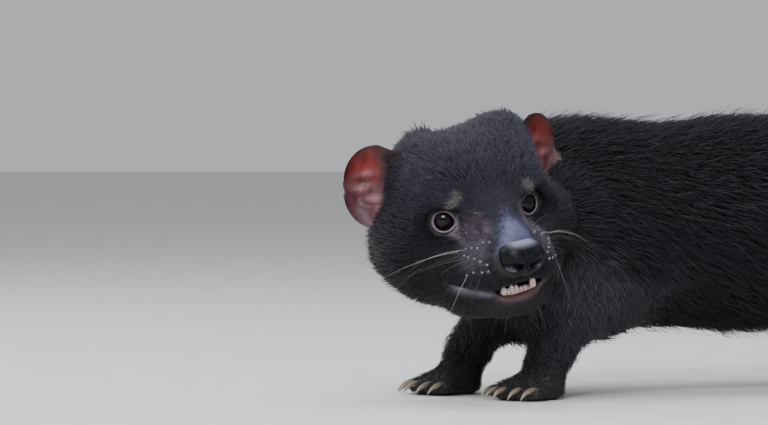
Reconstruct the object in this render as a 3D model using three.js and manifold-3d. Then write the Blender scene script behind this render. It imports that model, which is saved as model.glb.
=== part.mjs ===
// Tasmanian devil: a still, life-size model that stands low on four feet, its head turned to its left.
// Millimetres, +Z up. The hindquarters head along -Y, the forequarters turn towards +X and the face looks
// at +X.
// Every local frame has x to the animal's left, y to its back and z up.

import * as THREE from 'three';
import { mergeVertices } from 'three/addons/utils/BufferGeometryUtils.js';
import Module from 'manifold-3d';

const wasm = await Module();
wasm.setup();

// Driving dimensions
const GAP = 0.3;
const EYE_HEIGHT = 135;
const HEAD_TURN = 96.5;
const HEAD_NOD = 12;
const HEAD_TILT = 11;
const HEAD_HALF_WIDTH = 77;
const CROWN_HEIGHT = 58;
const EYE_SPACING = 68;
const EYE_TURN = 25;
const EYEBALL_RADIUS = 9.5;
const LID_OPENING = 7;
const NOSE_REACH = 60;
const NOSE_DROP = 19;
const EAR_REACH = 36;
const EAR_SPAN = 59;
const FRONT_TURN = 18;
const SHOULDER = [-112, 100, 122];
const HIP = [-142, 366, 122];
const CHEST_HALF_WIDTH = 80;
const CHEST_HALF_DEPTH = 79;
const HIP_HALF_WIDTH = 76;
const TAIL_LENGTH = 250;
const TAIL_ROOT_RADIUS = 34;
const TAIL_TIP_RADIUS = 13;
const FOREFOOT_LEFT = [-53, 56];
const FOREFOOT_RIGHT = [-130, 16];
const HINDFOOT_LEFT = [-86, 332];
const HINDFOOT_RIGHT = [-198, 366];
const WRIST_HEIGHT = 27;
const CLAW_LENGTH = 15;

// Colours
const COAT = 0x26242b;
const EAR_SKIN = 0x7a3a3c;
const NOSE_SKIN = 0x1a1a20;
const EYE_DARK = 0x120c09;
const CLAW_HORN = 0x6b6257;

const COAT_MATERIAL = new THREE.MeshStandardMaterial({ color: COAT, roughness: 0.85, metalness: 0 });
const EAR_MATERIAL = new THREE.MeshStandardMaterial({ color: EAR_SKIN, roughness: 0.6, metalness: 0 });
const NOSE_MATERIAL = new THREE.MeshStandardMaterial({ color: NOSE_SKIN, roughness: 0.35, metalness: 0 });
const EYE_MATERIAL = new THREE.MeshStandardMaterial({ color: EYE_DARK, roughness: 0.08, metalness: 0 });
const FOOT_MATERIAL = new THREE.MeshStandardMaterial({ color: CLAW_HORN, roughness: 0.7, metalness: 0 });

const toRadians = THREE.MathUtils.degToRad;

// A frame is placed by its origin, a turn about z, a nod of the front downwards and a tilt of the left
// side up.
function makeFrame(origin, turn = 0, nod = 0, tilt = 0) {
  const euler = new THREE.Euler(toRadians(nod), toRadians(-tilt), toRadians(turn), 'ZXY');
  const matrix = new THREE.Matrix4().makeRotationFromEuler(euler);
  matrix.setPosition(...origin);
  return { matrix, inverse: matrix.clone().invert(), euler, origin };
}

const WORLD = makeFrame([0, 0, 0]);
const HEAD = makeFrame([0, 0, EYE_HEIGHT], HEAD_TURN, HEAD_NOD, HEAD_TILT);

function moved(point, matrix) {
  const e = matrix.elements;
  const [x, y, z] = point;
  return [
    e[0] * x + e[4] * y + e[8] * z + e[12],
    e[1] * x + e[5] * y + e[9] * z + e[13],
    e[2] * x + e[6] * y + e[10] * z + e[14],
  ];
}

const inWorld = (frame, point) => moved(point, frame.matrix);

// Fields are signed distances, negative inside, read at a point of the world.
function ellipsoid(frame, centre, radii) {
  return (point) => {
    const local = frame === WORLD ? point : moved(point, frame.inverse);
    let first = 0;
    let second = 0;
    for (let axis = 0; axis < 3; axis += 1) {
      const ratio = (local[axis] - centre[axis]) / radii[axis];
      first += ratio * ratio;
      second += (ratio / radii[axis]) ** 2;
    }
    const length = Math.sqrt(first);
    return second > 0 ? (length * (length - 1)) / Math.sqrt(second) : -Math.min(...radii);
  };
}

function roundCone(frame, start, startRadius, end, endRadius) {
  const a = inWorld(frame, start);
  const b = inWorld(frame, end);
  const along = b.map((value, axis) => value - a[axis]);
  const lengthSquared = along.reduce((sum, value) => sum + value * value, 0);
  return (point) => {
    const dx = point[0] - a[0];
    const dy = point[1] - a[1];
    const dz = point[2] - a[2];
    const share = (dx * along[0] + dy * along[1] + dz * along[2]) / lengthSquared;
    const t = Math.min(1, Math.max(0, share));
    const away = Math.hypot(dx - t * along[0], dy - t * along[1], dz - t * along[2]);
    return away - (startRadius + t * (endRadius - startRadius));
  };
}

function smoothMinimum(a, b, width) {
  const overlap = Math.max(width - Math.abs(a - b), 0) / width;
  return Math.min(a, b) - (overlap * overlap * width) / 4;
}

function blend(width, fields) {
  return (point) => fields.reduce((value, field) => smoothMinimum(value, field(point), width), 1e3);
}

function hollow(width, field, cutters) {
  return (point) => cutters.reduce(
    (value, cutter) => -smoothMinimum(-value, cutter(point), width),
    field(point),
  );
}

const SIDES = { left: 1, right: -1 };
const bothSides = (make) => Object.values(SIDES).flatMap((side) => make(side));

// Head, in its own frame: the middle of the eyes is the origin and the nose points along -y.
const EYE_AXIS = new THREE.Vector3(Math.sin(toRadians(EYE_TURN)), -Math.cos(toRadians(EYE_TURN)), 0.06)
  .normalize();
const eyeCentre = (side) => [
  side * (EYE_SPACING / 2 - EYEBALL_RADIUS * EYE_AXIS.x),
  -EYEBALL_RADIUS * EYE_AXIS.y,
  -EYEBALL_RADIUS * EYE_AXIS.z,
];

const skull = blend(16, [
  ellipsoid(HEAD, [0, 46, 14], [40, 52, CROWN_HEIGHT - 15]),
  roundCone(HEAD, [0, 12, 16], 27, [0, -19, -1], 17),
  ...bothSides((side) => [
    ellipsoid(HEAD, [side * 21, 44, 14], [34, 52, CROWN_HEIGHT - 14]),
    ellipsoid(HEAD, [side * (HEAD_HALF_WIDTH - 38), 34, -22], [38, 42, 37]),
    roundCone(HEAD, [side * 27, 22, -42], 28, [side * 22, -4, -46], 20),
  ]),
]);
const muzzle = blend(12, [
  roundCone(HEAD, [0, 4, -17], 34, [0, -34, -20], 23.5),
  ...bothSides((side) => [ellipsoid(HEAD, [side * 24, -6, -25], [19, 23, 19])]),
  ...bothSides((side) => [ellipsoid(HEAD, [side * 17, -30, -31], [17, 22, 15])]),
]);
const chin = blend(9, [
  ...bothSides((side) => [roundCone(HEAD, [side * 20, -2, -53], 17, [side * 8, -32, -55], 13)]),
]);
const headField = hollow(6, blend(13, [skull, muzzle, chin]), bothSides((side) => [
  ellipsoid(HEAD, [side * 35, -9, 1], [11, 9, 8]),
]));

// Neck, trunk and tail
const FRONT = makeFrame(SHOULDER, FRONT_TURN);
const MIDDLE = makeFrame(SHOULDER.map((value, axis) => (value + HIP[axis]) / 2), FRONT_TURN / 2);
const REAR = makeFrame(HIP, 2);
const nape = inWorld(HEAD, [2, 58, -8]);
const trunkField = blend(30, [
  ellipsoid(FRONT, [0, 0, 0], [CHEST_HALF_WIDTH, 92, CHEST_HALF_DEPTH]),
  ellipsoid(MIDDLE, [0, 0, 2], [80, 165, 79]),
  ellipsoid(REAR, [0, -6, 2], [HIP_HALF_WIDTH, 88, 76]),
  ellipsoid(FRONT, [0, -42, -40], [46, 50, 38]),
  roundCone(WORLD, nape, 47, inWorld(FRONT, [0, -20, -6]), 66),
]);

// The tail droops from the rump in a frame of its own, thick at the root and round at the tip.
const TAIL = makeFrame(inWorld(REAR, [0, 62, 26]), -6, -17);
const tailCurve = new THREE.CatmullRomCurve3([
  [0, 0, 0],
  [-2, TAIL_LENGTH * 0.33, 6],
  [2, TAIL_LENGTH * 0.67, 4],
  [14, TAIL_LENGTH, -12],
].map((point) => new THREE.Vector3(...inWorld(TAIL, point))));
const TAIL_STEPS = 8;
const tailRadius = (t) => TAIL_ROOT_RADIUS + (TAIL_TIP_RADIUS - TAIL_ROOT_RADIUS) * t ** 0.85;
const tailField = blend(4, Array.from({ length: TAIL_STEPS }, (_, step) => {
  const start = step / TAIL_STEPS;
  const end = (step + 1) / TAIL_STEPS;
  const from = tailCurve.getPoint(start).toArray();
  const to = tailCurve.getPoint(end).toArray();
  return roundCone(WORLD, from, tailRadius(start), to, tailRadius(end));
}));

// Legs and feet. A foot's frame has its origin on the floor under the wrist or ankle.
const FEET = {
  forefoot_left: { place: FOREFOOT_LEFT, turn: FRONT_TURN + 6, fore: true, side: 1 },
  forefoot_right: { place: FOREFOOT_RIGHT, turn: FRONT_TURN - 4, fore: true, side: -1 },
  hindfoot_left: { place: HINDFOOT_LEFT, turn: 10, fore: false, side: 1 },
  hindfoot_right: { place: HINDFOOT_RIGHT, turn: -8, fore: false, side: -1 },
};
const FORE_TOES = [-16, -8.5, 0, 8.5, 16];
const HIND_TOES = [-13.5, -4.5, 4.5, 13.5];

function toesOf(foot) {
  const spread = foot.fore ? FORE_TOES : HIND_TOES;
  const reach = foot.fore ? 34 : 38;
  return spread.map((across) => {
    const shorter = Math.abs(across) * 0.55;
    return { root: [across * 0.8, -12, 9], tip: [across * 1.35, -(reach - shorter), 6], across };
  });
}

for (const foot of Object.values(FEET)) {
  foot.frame = makeFrame([...foot.place, 0], foot.turn);
  foot.toes = toesOf(foot);
  const toes = foot.toes.map((toe) => roundCone(foot.frame, toe.root, 7.5, toe.tip, 6.2));
  if (foot.fore) {
    const elbow = inWorld(FRONT, [foot.side * 52, -14, -40]);
    foot.joint = inWorld(foot.frame, [0, 8, WRIST_HEIGHT + 8]);
    foot.padField = blend(5, [
      ellipsoid(foot.frame, [0, -4, 9], [20, 19, 12]),
      roundCone(WORLD, foot.joint, 16.5, inWorld(foot.frame, [0, 0, 12]), 15),
      ...toes,
    ]);
    foot.legField = blend(12, [
      roundCone(WORLD, elbow, 22, foot.joint, 16),
      roundCone(WORLD, inWorld(FRONT, [foot.side * 46, 0, -6]), 34, elbow, 24),
    ]);
  } else {
    const knee = inWorld(foot.frame, [foot.side * 2, -14, 84]);
    foot.joint = inWorld(foot.frame, [0, 30, WRIST_HEIGHT + 8]);
    foot.padField = blend(5, [
      ellipsoid(foot.frame, [0, 2, 9], [18, 26, 12]),
      roundCone(WORLD, foot.joint, 16, inWorld(foot.frame, [0, 24, 10]), 13),
      ...toes,
    ]);
    foot.legField = blend(12, [
      roundCone(WORLD, knee, 32, foot.joint, 17),
      roundCone(WORLD, inWorld(REAR, [foot.side * 40, -8, -8]), 48, knee, 34),
    ]);
  }
}

const limbs = blend(8, Object.values(FEET).flatMap((foot) => [foot.padField, foot.legField]));
const torsoAndTail = blend(16, [trunkField, tailField]);
const bodyField = blend(12, [blend(14, [torsoAndTail, limbs]), headField]);

// Surface nets on a grid whose lines may be spaced unevenly: one point in each cell that the surface
// crosses, drawn onto the surface, and one four-sided face round each grid edge that it crosses.
function gridLines(low, high, step, fine = null) {
  const lines = [low];
  while (lines[lines.length - 1] < high) {
    const last = lines[lines.length - 1];
    const inside = fine && last > fine.low - step && last < fine.high;
    lines.push(last + (inside ? fine.step : step));
  }
  return lines;
}

function drawnToSurface(field, point, low, high) {
  const reach = 0.4;
  for (let round = 0; round < 4; round += 1) {
    const value = field(point);
    const slope = [0, 1, 2].map((axis) => {
      const ahead = [...point];
      ahead[axis] += reach;
      return (field(ahead) - value) / reach;
    });
    const steepness = slope.reduce((sum, part) => sum + part * part, 1e-9);
    for (let axis = 0; axis < 3; axis += 1) {
      const margin = 0.04 * (high[axis] - low[axis]);
      const next = point[axis] - (value * slope[axis]) / steepness;
      point[axis] = Math.min(high[axis] - margin, Math.max(low[axis] + margin, next));
    }
  }
  return point;
}

// Cell corners and edges, the edges round each face, and the four cells round a grid edge along each axis.
const CORNERS = [[0, 0, 0], [1, 0, 0], [0, 1, 0], [1, 1, 0], [0, 0, 1], [1, 0, 1], [0, 1, 1], [1, 1, 1]];
const EDGES = [
  [0, 1], [2, 3], [4, 5], [6, 7],
  [0, 2], [1, 3], [4, 6], [5, 7],
  [0, 4], [1, 5], [2, 6], [3, 7],
];
const FACES = [[0, 2, 6, 4], [1, 3, 7, 5], [0, 1, 5, 4], [2, 3, 7, 6], [0, 1, 3, 2], [4, 5, 7, 6]];
const edgeBetween = (a, b) => EDGES.findIndex((ends) => ends.includes(a) && ends.includes(b));
const AROUND = [0, 1, 2].map((axis) => {
  const u = (axis + 1) % 3;
  const v = (axis + 2) % 3;
  return [[0, 0], [1, 0], [1, 1], [0, 1]].map(([alongU, alongV]) => {
    const back = [0, 0, 0];
    back[u] = alongU;
    back[v] = alongV;
    const start = CORNERS.findIndex((corner) => corner.every((value, k) => value === back[k]));
    const ahead = [...back];
    ahead[axis] = 1;
    const end = CORNERS.findIndex((corner) => corner.every((value, k) => value === ahead[k]));
    return [edgeBetween(start, end), back];
  });
});

// The crossed edges of a cell, parted into the sheets of surface that pass through it.
function sheetsOf(inside) {
  const owner = EDGES.map(([from, to], edge) => ((inside[from] < 0) !== (inside[to] < 0) ? edge : -1));
  const rootOf = (edge) => (owner[edge] === edge ? edge : rootOf(owner[edge]));
  const link = (a, b) => {
    owner[rootOf(a)] = rootOf(b);
  };
  for (const face of FACES) {
    const sides = face.map((corner, k) => edgeBetween(corner, face[(k + 1) % 4]));
    const crossed = sides.filter((edge) => owner[edge] >= 0);
    if (crossed.length === 2) link(crossed[0], crossed[1]);
    if (crossed.length === 4) {
      face.forEach((corner, k) => {
        if (inside[corner] < 0) link(sides[k], sides[(k + 3) % 4]);
      });
    }
  }
  const sheets = new Map();
  owner.forEach((start, edge) => {
    if (start < 0) return;
    const base = rootOf(edge);
    if (!sheets.has(base)) sheets.set(base, []);
    sheets.get(base).push(edge);
  });
  return [...sheets.values()];
}

function surfaceNet(field, lines) {
  const [nx, ny, nz] = lines.map((line) => line.length);
  const at = (i, j, k) => (k * ny + j) * nx + i;
  const values = new Float64Array(nx * ny * nz);
  for (let k = 0; k < nz; k += 1) {
    for (let j = 0; j < ny; j += 1) {
      for (let i = 0; i < nx; i += 1) {
        const onRim = i === 0 || j === 0 || k === 0 || i === nx - 1 || j === ny - 1 || k === nz - 1;
        const value = field([lines[0][i], lines[1][j], lines[2][k]]);
        values[at(i, j, k)] = onRim ? Math.max(value, 0.5) : value;
      }
    }
  }
  const pointOf = new Map();
  const positions = [];
  for (let k = 0; k < nz - 1; k += 1) {
    for (let j = 0; j < ny - 1; j += 1) {
      for (let i = 0; i < nx - 1; i += 1) {
        const inside = CORNERS.map(([a, b, c]) => values[at(i + a, j + b, k + c)]);
        const below = inside.filter((value) => value < 0).length;
        if (below === 0 || below === 8) continue;
        const cell = [i, j, k];
        const low = cell.map((line, axis) => lines[axis][line]);
        const high = cell.map((line, axis) => lines[axis][line + 1]);
        const onRim = i < 1 || j < 1 || k < 1 || i > nx - 3 || j > ny - 3 || k > nz - 3;
        for (const sheet of sheetsOf(inside)) {
          const centre = [0, 1, 2].map((axis) => sheet.reduce((sum, edge) => {
            const [from, to] = EDGES[edge];
            const t = inside[from] / (inside[from] - inside[to]);
            const along = CORNERS[from][axis] + t * (CORNERS[to][axis] - CORNERS[from][axis]);
            return sum + low[axis] + along * (high[axis] - low[axis]);
          }, 0) / sheet.length);
          for (const edge of sheet) pointOf.set(at(i, j, k) * 12 + edge, positions.length / 3);
          positions.push(...(onRim ? centre : drawnToSurface(field, centre, low, high)));
        }
      }
    }
  }
  const triangles = [];
  const steps = [1, nx, nx * ny];
  for (let k = 0; k < nz - 1; k += 1) {
    for (let j = 0; j < ny - 1; j += 1) {
      for (let i = 0; i < nx - 1; i += 1) {
        const here = at(i, j, k);
        for (let axis = 0; axis < 3; axis += 1) {
          const startsInside = values[here] < 0;
          if (startsInside === values[here + steps[axis]] < 0) continue;
          const quad = AROUND[axis].map(([edge, back]) => {
            const cell = here - back.reduce((sum, count, other) => sum + count * steps[other], 0);
            return pointOf.get(cell * 12 + edge);
          });
          if (!startsInside) quad.reverse();
          triangles.push(...splitQuad(quad, positions));
        }
      }
    }
  }
  return { positions, triangles };
}

// A four-sided face is split along its shorter diagonal.
function splitQuad([a, b, c, d], positions) {
  const pointAt = (index) => new THREE.Vector3().fromArray(positions, 3 * index);
  const distance = (p, q) => pointAt(p).distanceTo(pointAt(q));
  return distance(a, c) < distance(b, d) ? [a, b, c, a, c, d] : [a, b, d, b, c, d];
}

// Solids that are joined and cut
function solidOf(geometry) {
  const bare = geometry.clone();
  for (const name of Object.keys(bare.attributes)) {
    if (name !== 'position') bare.deleteAttribute(name);
  }
  const merged = mergeVertices(bare, 1e-4);
  return new wasm.Manifold(new wasm.Mesh({
    numProp: 3,
    vertProperties: Float32Array.from(merged.attributes.position.array),
    triVerts: Uint32Array.from(merged.index.array),
  }));
}

function solidOfNet({ positions, triangles }) {
  return new wasm.Manifold(new wasm.Mesh({
    numProp: 3,
    vertProperties: Float32Array.from(positions),
    triVerts: Uint32Array.from(triangles),
  }));
}

function largestOf(solid) {
  return solid.decompose().reduce((best, piece) => (piece.volume() > best.volume() ? piece : best));
}

function geometryOf(solid) {
  const mesh = largestOf(solid).getMesh();
  const geometry = new THREE.BufferGeometry();
  geometry.setAttribute('position', new THREE.BufferAttribute(Float32Array.from(mesh.vertProperties), 3));
  geometry.setIndex(new THREE.BufferAttribute(Uint32Array.from(mesh.triVerts), 1));
  geometry.computeVertexNormals();
  return geometry;
}

// Rings of points, each wound counterclockwise seen from the end of the sweep, closed at both ends.
function sweptGeometry(rings) {
  const sides = rings[0].length;
  const positions = rings.flat().flatMap((point) => point.toArray());
  const index = [];
  for (let ring = 0; ring < rings.length - 1; ring += 1) {
    for (let side = 0; side < sides; side += 1) {
      const next = (side + 1) % sides;
      const a = ring * sides + side;
      const b = ring * sides + next;
      index.push(a, b, b + sides, a, b + sides, a + sides);
    }
  }
  const last = (rings.length - 1) * sides;
  for (let side = 1; side < sides - 1; side += 1) {
    index.push(0, side + 1, side);
    index.push(last, last + side, last + side + 1);
  }
  const geometry = new THREE.BufferGeometry();
  geometry.setAttribute('position', new THREE.Float32BufferAttribute(positions, 3));
  geometry.setIndex(index);
  return geometry;
}

function tubeAlong(points, radiusAt, sides, stepsBetween = 2) {
  const curve = new THREE.CatmullRomCurve3(points.map((point) => new THREE.Vector3(...point)));
  const steps = (points.length - 1) * stepsBetween;
  const frames = curve.computeFrenetFrames(steps, false);
  const rings = [];
  for (let step = 0; step <= steps; step += 1) {
    const t = step / steps;
    const centre = curve.getPointAt(t);
    const ring = [];
    for (let side = 0; side < sides; side += 1) {
      const angle = (side / sides) * Math.PI * 2;
      const offset = frames.normals[step].clone().multiplyScalar(Math.cos(angle) * radiusAt(t));
      offset.addScaledVector(frames.binormals[step], Math.sin(angle) * radiusAt(t));
      ring.push(centre.clone().add(offset));
    }
    rings.push(ring);
  }
  return sweptGeometry(rings);
}

function ellipsoidGeometry(centre, radii, columns = 16, rows = 10) {
  const geometry = new THREE.SphereGeometry(1, columns, rows);
  geometry.scale(...radii);
  geometry.translate(...centre);
  return geometry;
}

// A region is a box in its own frame. Each node keeps the body inside its region, clear of the regions
// before it.
function regionSolid(region, growth, target = WORLD) {
  const low = region.low.map((value) => value - growth);
  const high = region.high.map((value) => value + growth);
  const geometry = new THREE.BoxGeometry(...high.map((value, axis) => value - low[axis]));
  geometry.translate(...high.map((value, axis) => (value + low[axis]) / 2));
  geometry.applyMatrix4(region.frame.matrix);
  geometry.applyMatrix4(target.inverse);
  return solidOf(geometry);
}

const FAR = 400;
const FOOT_TOP = WRIST_HEIGHT + 1;
const regions = {};
for (const [name, foot] of Object.entries(FEET)) {
  const back = foot.fore ? 40 : 62;
  regions[name] = { frame: foot.frame, low: [-34, -60, -20], high: [34, back, FOOT_TOP] };
}
for (const [name, foot] of Object.entries(FEET)) {
  const legName = name.replace('foot', 'leg');
  const outward = foot.fore ? [-24, 42] : [-34, 52];
  const across = foot.side > 0 ? outward : [-outward[1], -outward[0]];
  const along = foot.fore ? [-34, 88] : [-56, 68];
  const top = foot.fore ? 104 : 112;
  regions[legName] = {
    frame: foot.frame,
    low: [across[0], along[0], FOOT_TOP],
    high: [across[1], along[1], top],
  };
}
const headCut = makeFrame(inWorld(HEAD, [20, 72, 0]), HEAD_TURN - 37);
regions.head = { frame: headCut, low: [-160, -260, -104], high: [160, 0, 140] };
const neckCut = makeFrame(inWorld(FRONT, [6, -56, 0]), FRONT_TURN + 14);
regions.neck = { frame: neckCut, low: [-160, -160, -140], high: [160, 0, 140] };
const tailCut = makeFrame(inWorld(REAR, [0, 84, 20]), 0, -8);
regions.tail = { frame: tailCut, low: [-60, 0, -160], high: [80, FAR, 60] };
const ORDER = [
  'forefoot_left', 'forefoot_right', 'hindfoot_left', 'hindfoot_right',
  'foreleg_left', 'foreleg_right', 'hindleg_left', 'hindleg_right', 'head', 'neck', 'tail',
];

function bodyPart(name, lines, frame = WORLD) {
  const field = frame === WORLD ? bodyField : (point) => bodyField(inWorld(frame, point));
  let solid = solidOfNet(surfaceNet(field, lines));
  if (regions[name]) solid = solid.intersect(regionSolid(regions[name], 0, frame));
  const before = regions[name] ? ORDER.slice(0, ORDER.indexOf(name)) : ORDER;
  for (const other of before) solid = solid.subtract(regionSolid(regions[other], GAP, frame));
  return solid;
}

function gridRound(low, high, step) {
  return low.map((value, axis) => gridLines(value, high[axis], step));
}

// Eyes, nose and ears, in the head's frame
const eyeGeometry = (side, growth = 0) => {
  const radius = EYEBALL_RADIUS + growth;
  return ellipsoidGeometry(eyeCentre(side), [radius, radius, radius], 16, 10);
};

function lidGeometry(side) {
  const ring = new THREE.TorusGeometry(LID_OPENING + 1, 2.3, 6, 16);
  ring.scale(1, 0.93, 1);
  const axis = new THREE.Vector3(side * EYE_AXIS.x, EYE_AXIS.y, EYE_AXIS.z);
  ring.applyQuaternion(new THREE.Quaternion().setFromUnitVectors(new THREE.Vector3(0, 0, 1), axis));
  ring.translate(...eyeCentre(side).map((value, k) => value + axis.getComponent(k) * EYEBALL_RADIUS * 0.62));
  return ring;
}

function openingGeometry(side) {
  const axis = new THREE.Vector3(side * EYE_AXIS.x, EYE_AXIS.y, EYE_AXIS.z);
  const opening = new THREE.CylinderGeometry(LID_OPENING + 4, LID_OPENING, 14, 16);
  opening.translate(0, 7 + EYEBALL_RADIUS * 0.5, 0);
  opening.applyQuaternion(new THREE.Quaternion().setFromUnitVectors(new THREE.Vector3(0, 1, 0), axis));
  opening.translate(...eyeCentre(side));
  return opening;
}

const NOSE_CENTRE = [0, -NOSE_REACH + 8, -NOSE_DROP];
const noseGeometry = (growth) => ellipsoidGeometry(
  NOSE_CENTRE,
  [16.5 + growth, 12 + growth, 11.5 + growth],
  16,
  10,
);

function nostrilGeometry(side) {
  const from = [side * 6.5, -NOSE_REACH - 3, -NOSE_DROP - 1];
  const middle = [side * 9.5, -NOSE_REACH + 2, -NOSE_DROP + 0.5];
  const to = [side * 14.5, -NOSE_REACH + 6, -NOSE_DROP + 3];
  return tubeAlong([from, middle, to], (t) => 3 - 1.2 * t, 7);
}

// An ear is a cup: a round flap that stands out of the side of the head, hollow towards the front,
// thick at the root and thin at the rim.
const EAR_ROWS = 8;
const EAR_COLUMNS = 8;
const EAR_ROOT_DEPTH = 10;
const EAR_HOLLOW = 13;

function earGeometry(side, growth) {
  const outward = new THREE.Vector3(side * 0.86, 0.48, 0.06).normalize();
  const upward = new THREE.Vector3(side * -0.16, 0.1, 0.98);
  upward.addScaledVector(outward, -upward.dot(outward)).normalize();
  const backward = new THREE.Vector3().crossVectors(upward, outward).multiplyScalar(side);
  const root = new THREE.Vector3(side * 50, 48, 19);
  const place = (up, out, back) => root.clone()
    .addScaledVector(upward, up).addScaledVector(outward, out).addScaledVector(backward, back);
  const rings = [];
  for (let row = 0; row <= EAR_ROWS; row += 1) {
    const t = row / EAR_ROWS;
    const out = -EAR_ROOT_DEPTH - growth + (EAR_REACH + EAR_ROOT_DEPTH + 2 * growth) * t;
    const share = Math.max(0, out) / EAR_REACH;
    const roundEnd = Math.sqrt(Math.max(0.05, 1 - Math.max(0, (share - 0.3) / 0.72) ** 2.2));
    const halfSpan = (EAR_SPAN / 2) * (0.84 + 0.16 * Math.min(1, share / 0.3)) * roundEnd;
    const depth = EAR_HOLLOW * roundEnd * Math.min(1, 0.45 + share * 1.6);
    const thickness = 5 - 2.4 * Math.min(1, share * 1.6);
    const middleAt = (s) => depth * (1 - s * s) - depth * 0.4;
    const front = [];
    const back = [];
    for (let column = 0; column <= EAR_COLUMNS; column += 1) {
      const across = ((column / EAR_COLUMNS) * 2 - 1) * (halfSpan + growth);
      const s = across / halfSpan;
      const half = (thickness / 2) * (1 - 0.6 * Math.min(1, s * s)) + growth;
      front.push(place(across, out, middleAt(s) - half));
      back.push(place(across * 0.98, out, middleAt(s * 0.98) + half));
    }
    const ring = [...front, ...back.reverse()];
    rings.push(side > 0 ? ring.reverse() : ring);
  }
  return sweptGeometry(rings);
}

// The mouth line runs from corner to corner round the muzzle, a little open in front over the lower teeth.
// Its points are given across and up, and are carried back onto the face.
const MOUTH_CORNER = [40, -42];
const MOUTH_FRONT = [0, -45];

function onFace(across, up) {
  let outside = -100;
  let inside = 40;
  for (let round = 0; round < 24; round += 1) {
    const half = (outside + inside) / 2;
    if (headField(inWorld(HEAD, [across, half, up])) > 0) outside = half;
    else inside = half;
  }
  return [across, inside, up];
}

const mouthLine = [
  [-MOUTH_CORNER[0], MOUTH_CORNER[1]],
  [-32, -46],
  [-17, -49],
  MOUTH_FRONT,
  [17, -44],
  [32, -42],
  MOUTH_CORNER,
].map(([across, up]) => onFace(across, up));
const mouthDepth = mouthLine[0][1];
const jawHinge = inWorld(HEAD, [0, mouthDepth, MOUTH_CORNER[1]]);
const jawCut = makeFrame(jawHinge, HEAD_TURN, HEAD_NOD + 4, HEAD_TILT);
regions.lower_jaw = { frame: jawCut, low: [-70, -90, -60], high: [70, 3, 0] };

function fangGeometry(root, tip, radius) {
  const middle = root.map((value, axis) => (value + tip[axis]) / 2);
  return tubeAlong([root, middle, tip], (t) => radius * (1.05 - t * 0.8), 5, 1);
}

// The lips are two ridges along the mouth line, one above it and one below.
const LIP_RISE = 3;

function lipGeometry(rise) {
  const line = mouthLine.map(([across, , up]) => onFace(across * 0.97, up + rise));
  return tubeAlong(line, (t) => 1.8 + 1.1 * Math.sin(Math.PI * t), 6);
}

const MOUTH_OPENING_DEPTH = onFace(...MOUTH_FRONT)[1] + 4;

function mouthPieces() {
  const groove = solidOf(tubeAlong(mouthLine, () => 1.7, 5));
  const opening = solidOf(ellipsoidGeometry([1, MOUTH_OPENING_DEPTH, -45], [16, 11, 5.5], 12, 8));
  return groove.add(opening);
}

function lowerTeeth() {
  const front = MOUTH_OPENING_DEPTH;
  let teeth = solidOf(ellipsoidGeometry([1, front + 8, -51], [14, 9, 5], 12, 6));
  for (let tooth = 0; tooth < 6; tooth += 1) {
    const across = -7 + tooth * 3.3;
    const back = front + 1 + Math.abs(tooth - 2.5) * 1.1;
    teeth = teeth.add(solidOf(fangGeometry([across, back + 1, -52], [across, back - 1, -43], 1.7)));
  }
  for (const across of [-12, 14]) {
    const fang = fangGeometry([across, front + 6, -53], [across * 1.05, front + 4, -41.5], 2.6);
    teeth = teeth.add(solidOf(fang));
  }
  return teeth;
}

const headLines = [
  gridLines(-96, 96, 12, { low: -44, high: 44, step: 5.6 }),
  gridLines(-70, 140, 13, { low: -70, high: 6, step: 5.6 }),
  gridLines(-98, 84, 12, { low: -72, high: 14, step: 5.6 }),
];

const tailLines = [
  gridLines(-62, 62, 10),
  gridLines(-10, TAIL_LENGTH + 40, 21),
  gridLines(-66, 62, 10),
];

function buildHead() {
  let head = bodyPart('head', headLines, HEAD);
  for (const side of Object.values(SIDES)) {
    head = head.subtract(solidOf(openingGeometry(side)));
    head = head.add(solidOf(lidGeometry(side))).subtract(solidOf(eyeGeometry(side, GAP)));
    head = head.subtract(solidOf(earGeometry(side, GAP)));
  }
  head = head.subtract(solidOf(noseGeometry(GAP)));
  const mouth = mouthPieces();
  const jawRegion = regionSolid(regions.lower_jaw, 0, HEAD);
  const upperLip = solidOf(lipGeometry(LIP_RISE));
  const lowerLip = solidOf(lipGeometry(-LIP_RISE));
  const jaw = head.intersect(jawRegion).add(lowerLip.intersect(jawRegion)).subtract(mouth)
    .add(lowerTeeth().intersect(jawRegion));
  const aboveJaw = regionSolid(regions.lower_jaw, GAP, HEAD);
  head = head.subtract(aboveJaw).add(upperLip.subtract(aboveJaw)).subtract(mouth);
  let nose = solidOf(noseGeometry(0));
  for (const side of Object.values(SIDES)) nose = nose.subtract(solidOf(nostrilGeometry(side)));
  return { head, jaw, nose };
}

function clawsOf(foot) {
  return foot.toes.map((toe) => {
    const [across, along] = toe.tip;
    const start = [across, along + 2, 8];
    const middle = [across * 1.03, along - CLAW_LENGTH * 0.6, 9];
    const end = [across * 1.06, along - CLAW_LENGTH, 2.4];
    const line = [start, middle, end].map((point) => inWorld(foot.frame, point));
    return solidOf(tubeAlong(line, (t) => 2.8 - 2 * t, 5));
  });
}

function buildFoot(name, foot) {
  const centre = inWorld(foot.frame, [0, foot.fore ? -8 : 4, 14]);
  const low = [centre[0] - 50, centre[1] - 54, -8];
  const high = [centre[0] + 50, centre[1] + 54, FOOT_TOP + 14];
  let solid = bodyPart(name, gridRound(low, high, 7.2));
  for (const claw of clawsOf(foot)) solid = solid.add(claw);
  const underFloor = regionSolid({ frame: foot.frame, low: [-90, -90, -60], high: [90, 90, 0] }, 0);
  return solid.subtract(underFloor);
}

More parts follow.
